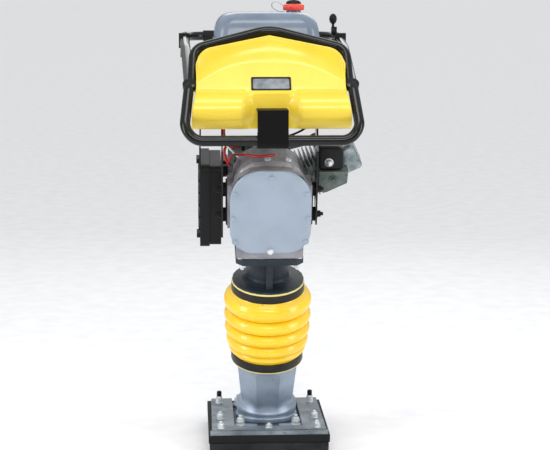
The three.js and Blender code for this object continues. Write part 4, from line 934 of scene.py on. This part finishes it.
neck = lathe([(18, 1056), (18, 1070), (17, 1071), (14, 1071)], 48, about=CAP)
tap = together(
    lathe([(6, 916), (6, 938)], 24, about=TAP),
    lathe([(9, 903), (11, 904), (11, 921), (9, 922)], 32, about=TAP),
    lathe([(4, 890), (4, 904)], 20, about=TAP),
)
piece("tank_shell", together(tank_mesh(), neck), LEVEL, tank_grey, "handle",
      ["fuel_tank"])
piece("tank_tap", tap, LEVEL, moulded_black, "handle")
print("tank holds about", round(0.25 * 0.27 * 0.125 * 1000, 1), "litres outside")

# %% [markdown]
# The cap has a red skirt with finger flutes and a black vented dome. The flutes are a ripple in the
# radius of each ring. A thin clear cord ties the cap to the tank so that it can't be lost.

# %% Cap and tether
FLUTES = 24


def fluted_ring(radius, height, depth, sides=144):
    ring = []
    for step in range(sides):
        turn = 2 * math.pi * step / sides
        size = radius + depth * math.cos(FLUTES * turn)
        ring.append((CAP[0] + size * math.cos(turn), CAP[1] + size * math.sin(turn), height))
    return ring


levels = [(24, 1071.5, 0.3), (25.2, 1073, 0.6), (25.6, 1082, 0.7), (24.8, 1085, 0.4), (22, 1087, 0),
          (15, 1087.5, 0)]
skirt = capped([fluted_ring(*level) for level in levels])
piece("cap_skirt", skirt, LEVEL, signal_red, "cap", ["tank_cap"])
dome = lathe([(19, 1086.8), (18.6, 1090), (16, 1093.6), (11, 1096), (5, 1097.2), (0.4, 1097.4)], 64,
             about=CAP)
vent = lathe([(5, 1096), (5, 1098.3), (4, 1099), (0.4, 1099)], 32, about=CAP)
piece("cap_dome", together(dome, vent), LEVEL, moulded_black, "cap")
tether = slack([(52, 32, 1074), (40, 22, 1086), (26, 16, 1093), (16, 20, 1088), (18, 32, 1078),
                (32, 44, 1070), (46, 52, 1068.5)], 12)
piece("cap_tether", swept(tether, 1.1, 10), LEVEL, clear_tube, "handle")
print("cap flutes", FLUTES)

# %% [markdown]
# ## Cables, hoses and small fittings
# The fuel hose and the throttle cable join the rocking handle to the engine. Each is swept along a
# soft curve and baked in place, on neither body.

# %% Hose and cable
fuel_way = [(-100, 20, 889), (-100, 18, 868), (-104, -16, 812), (-105, -38, 774), (-98, -47, 752),
            (-84, -48, 745), (-72, -48, 744.5), (-66, -46, 744)]
hose = piece("fuel_line", swept(slack(fuel_way), 4.2, 16), LEVEL, lead_red, "",
             ["fuel_hose"])
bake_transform(hose)
cable_way = [(180, 182, 996), (180, 120, 966), (181, 20, 944), (183, -62, 926), (160, -100, 870),
             (96, -90, 795), (30, -66, 765), (-24, -36, 762)]
cable = piece("throttle_line", swept(slack(cable_way), 2.6, 12), LEVEL, soft_black, "",
              ["throttle_cable"])
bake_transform(cable)

# %% [markdown]
# Around the top of the crankcase sit a red ignition lead with a loop, a clear overflow tube and two
# bolts that hold the lead's clips. A thin black tube hangs from the handle's left side. They are
# small, but from the front they fill the gap below the handle.

# %% Lead, clips and overflow tube
lead = slack([LEG @ Vector(p) for p in ((-96, 96, 640), (-92, 60, 664), (-84, 20, 690),
                                        (-62, -20, 706), (-34, -44, 711), (-10, -48, 714),
                                        (10, -38, 712))], 10)
lead = [p * 1000 for p in lead]
piece("ignition_lead", swept(lead, 3.2, 12), LEVEL, lead_red, "machine")
loop_back = slack([(-99, -70, 748), (-104, -78, 738), (-103, -84, 722), (-96, -84, 708),
                   (-90, -76, 700)], 10)
piece("lead_loop", swept(loop_back, 3.4, 12), LEVEL, lead_red, "machine")
overflow = slack([(-104, -66, 752), (-92, -80, 742), (-78, -92, 728), (-66, -100, 718)], 10)
piece("overflow_tube", swept(overflow, 2.6, 12), LEVEL, clear_tube, "machine")
for name, x in (("clip_bolt_left", -6), ("clip_bolt_right", 42)):
    clip = together(bolt((x, -40, 703), (0, -0.35, 1), 10, 5, washer=1.6),
                    bar((x, -40, 698), (x, -40, 704), 8, 24))
    piece(name, clip, LEG, zinc, "machine", edge_mm=0.4)
hanging = slack([(-163, -200, 846), (-163, -201, 800), (-164, -202, 752), (-164, -202, 706)], 8)
piece("hanging_tube", swept(hanging, 1.9, 12), LEVEL, soft_black, "handle")
print("small fittings placed")

# %% [markdown]
# ## Carrier under the tank
# A cross tube on the side plates carries everything the operator holds. Struts run from it to small
# clamps on the handle tube, and flat cradle bars hold the tank from below. Tubes are swept and the
# bars are blocks with eased edges, welded into one piece as on the real machine.

# %% Carrier frame
carrier = [bar((-172, -150, 872), (172, -150, 872), 12, 32)]
for side in (-1, 1):
    strut = bent([(side * 160, -150, 872), (side * 166, -204, 889), (side * 178, -246, 902)], 30)
    carrier.append(swept(strut, 9, 20))
    carrier.append(lathe([(12.3, -9), (15.5, -8), (15.5, 8), (12.3, 9)], 32))
    clamp_place = Matrix.Translation((side * 187.6, -250, 903)) @ Matrix.Rotation(math.radians(48), 4, "X")
    bmesh.ops.transform(carrier[-1], matrix=clamp_place, verts=carrier[-1].verts)
for y in (-60, 120):
    carrier.append(block((-176, y - 12, 924), (176, y + 12, 933.7)))
    carrier.append(block((-176, y - 12, 924), (-170, y + 12, 938)))
    carrier.append(block((170, y - 12, 924), (176, y + 12, 938)))
carrier.append(block((-14, -156, 924), (14, 130, 933.7)))
carrier.append(block((-14, -156, 880), (14, -144, 930)))
piece("tank_carrier", together(*carrier), LEVEL, powder_coat, "handle",
      ["carrier_frame"], edge_mm=0.8)
for name, side in (("clamp_pin_left", -1), ("clamp_pin_right", 1)):
    pin = bolt((side * 196, -254, 900), (side, 0, 0), 8, 3, washer=1)
    piece(name, pin, LEVEL, zinc, "handle", edge_mm=0.3)
print("carrier parts welded", len(carrier))

# %% [markdown]
# ## Engine dress
# Above the muffler a black sheet guides the cooling air over the fins, held by one bright cap nut.
# The muffler itself has a pressed flange seam round its edge.

# %% Air guide, cap nut and muffler seam
guide_rows = []
for inset, depth in ((0, 92), (0, 70), (1.5, 67.5), (4, 66.5)):
    outline = round_square(122 + inset, 182 - inset, 631 + inset, 688 - inset, 8, 12, 6)
    guide_rows.append([(x, depth, z) for x, z in outline])
piece("air_guide", capped(guide_rows), LEG, moulded_black, "machine", edge_mm=0.4)
nut = together(
    lathe([(11, 0), (11, 1.2), (10, 1.8)], 40),
    lathe([(8.6, 1.5), (8.6, 6), (7.8, 9), (5.6, 11.6), (2.8, 13), (0.3, 13.4)], 40),
)
bmesh.ops.transform(nut, matrix=Matrix.Translation((147, 66.3, 650))
                    @ Matrix.Rotation(math.radians(90), 4, "X"), verts=nut.verts)
piece("guide_cap_nut", nut, LEG, zinc, "machine")
seam_outline = [(122.5, 572.5), (142.5, 572.5), (193.5, 597), (195.5, 629.5), (122.5, 629.5)]
seam_rows = [[(x, depth, z) for x, z in seam_outline] for depth in (83, 86)]
piece("muffler_seam", capped(seam_rows), LEG, olive_steel, "machine", edge_mm=0.6)
print("air guide and seam placed")
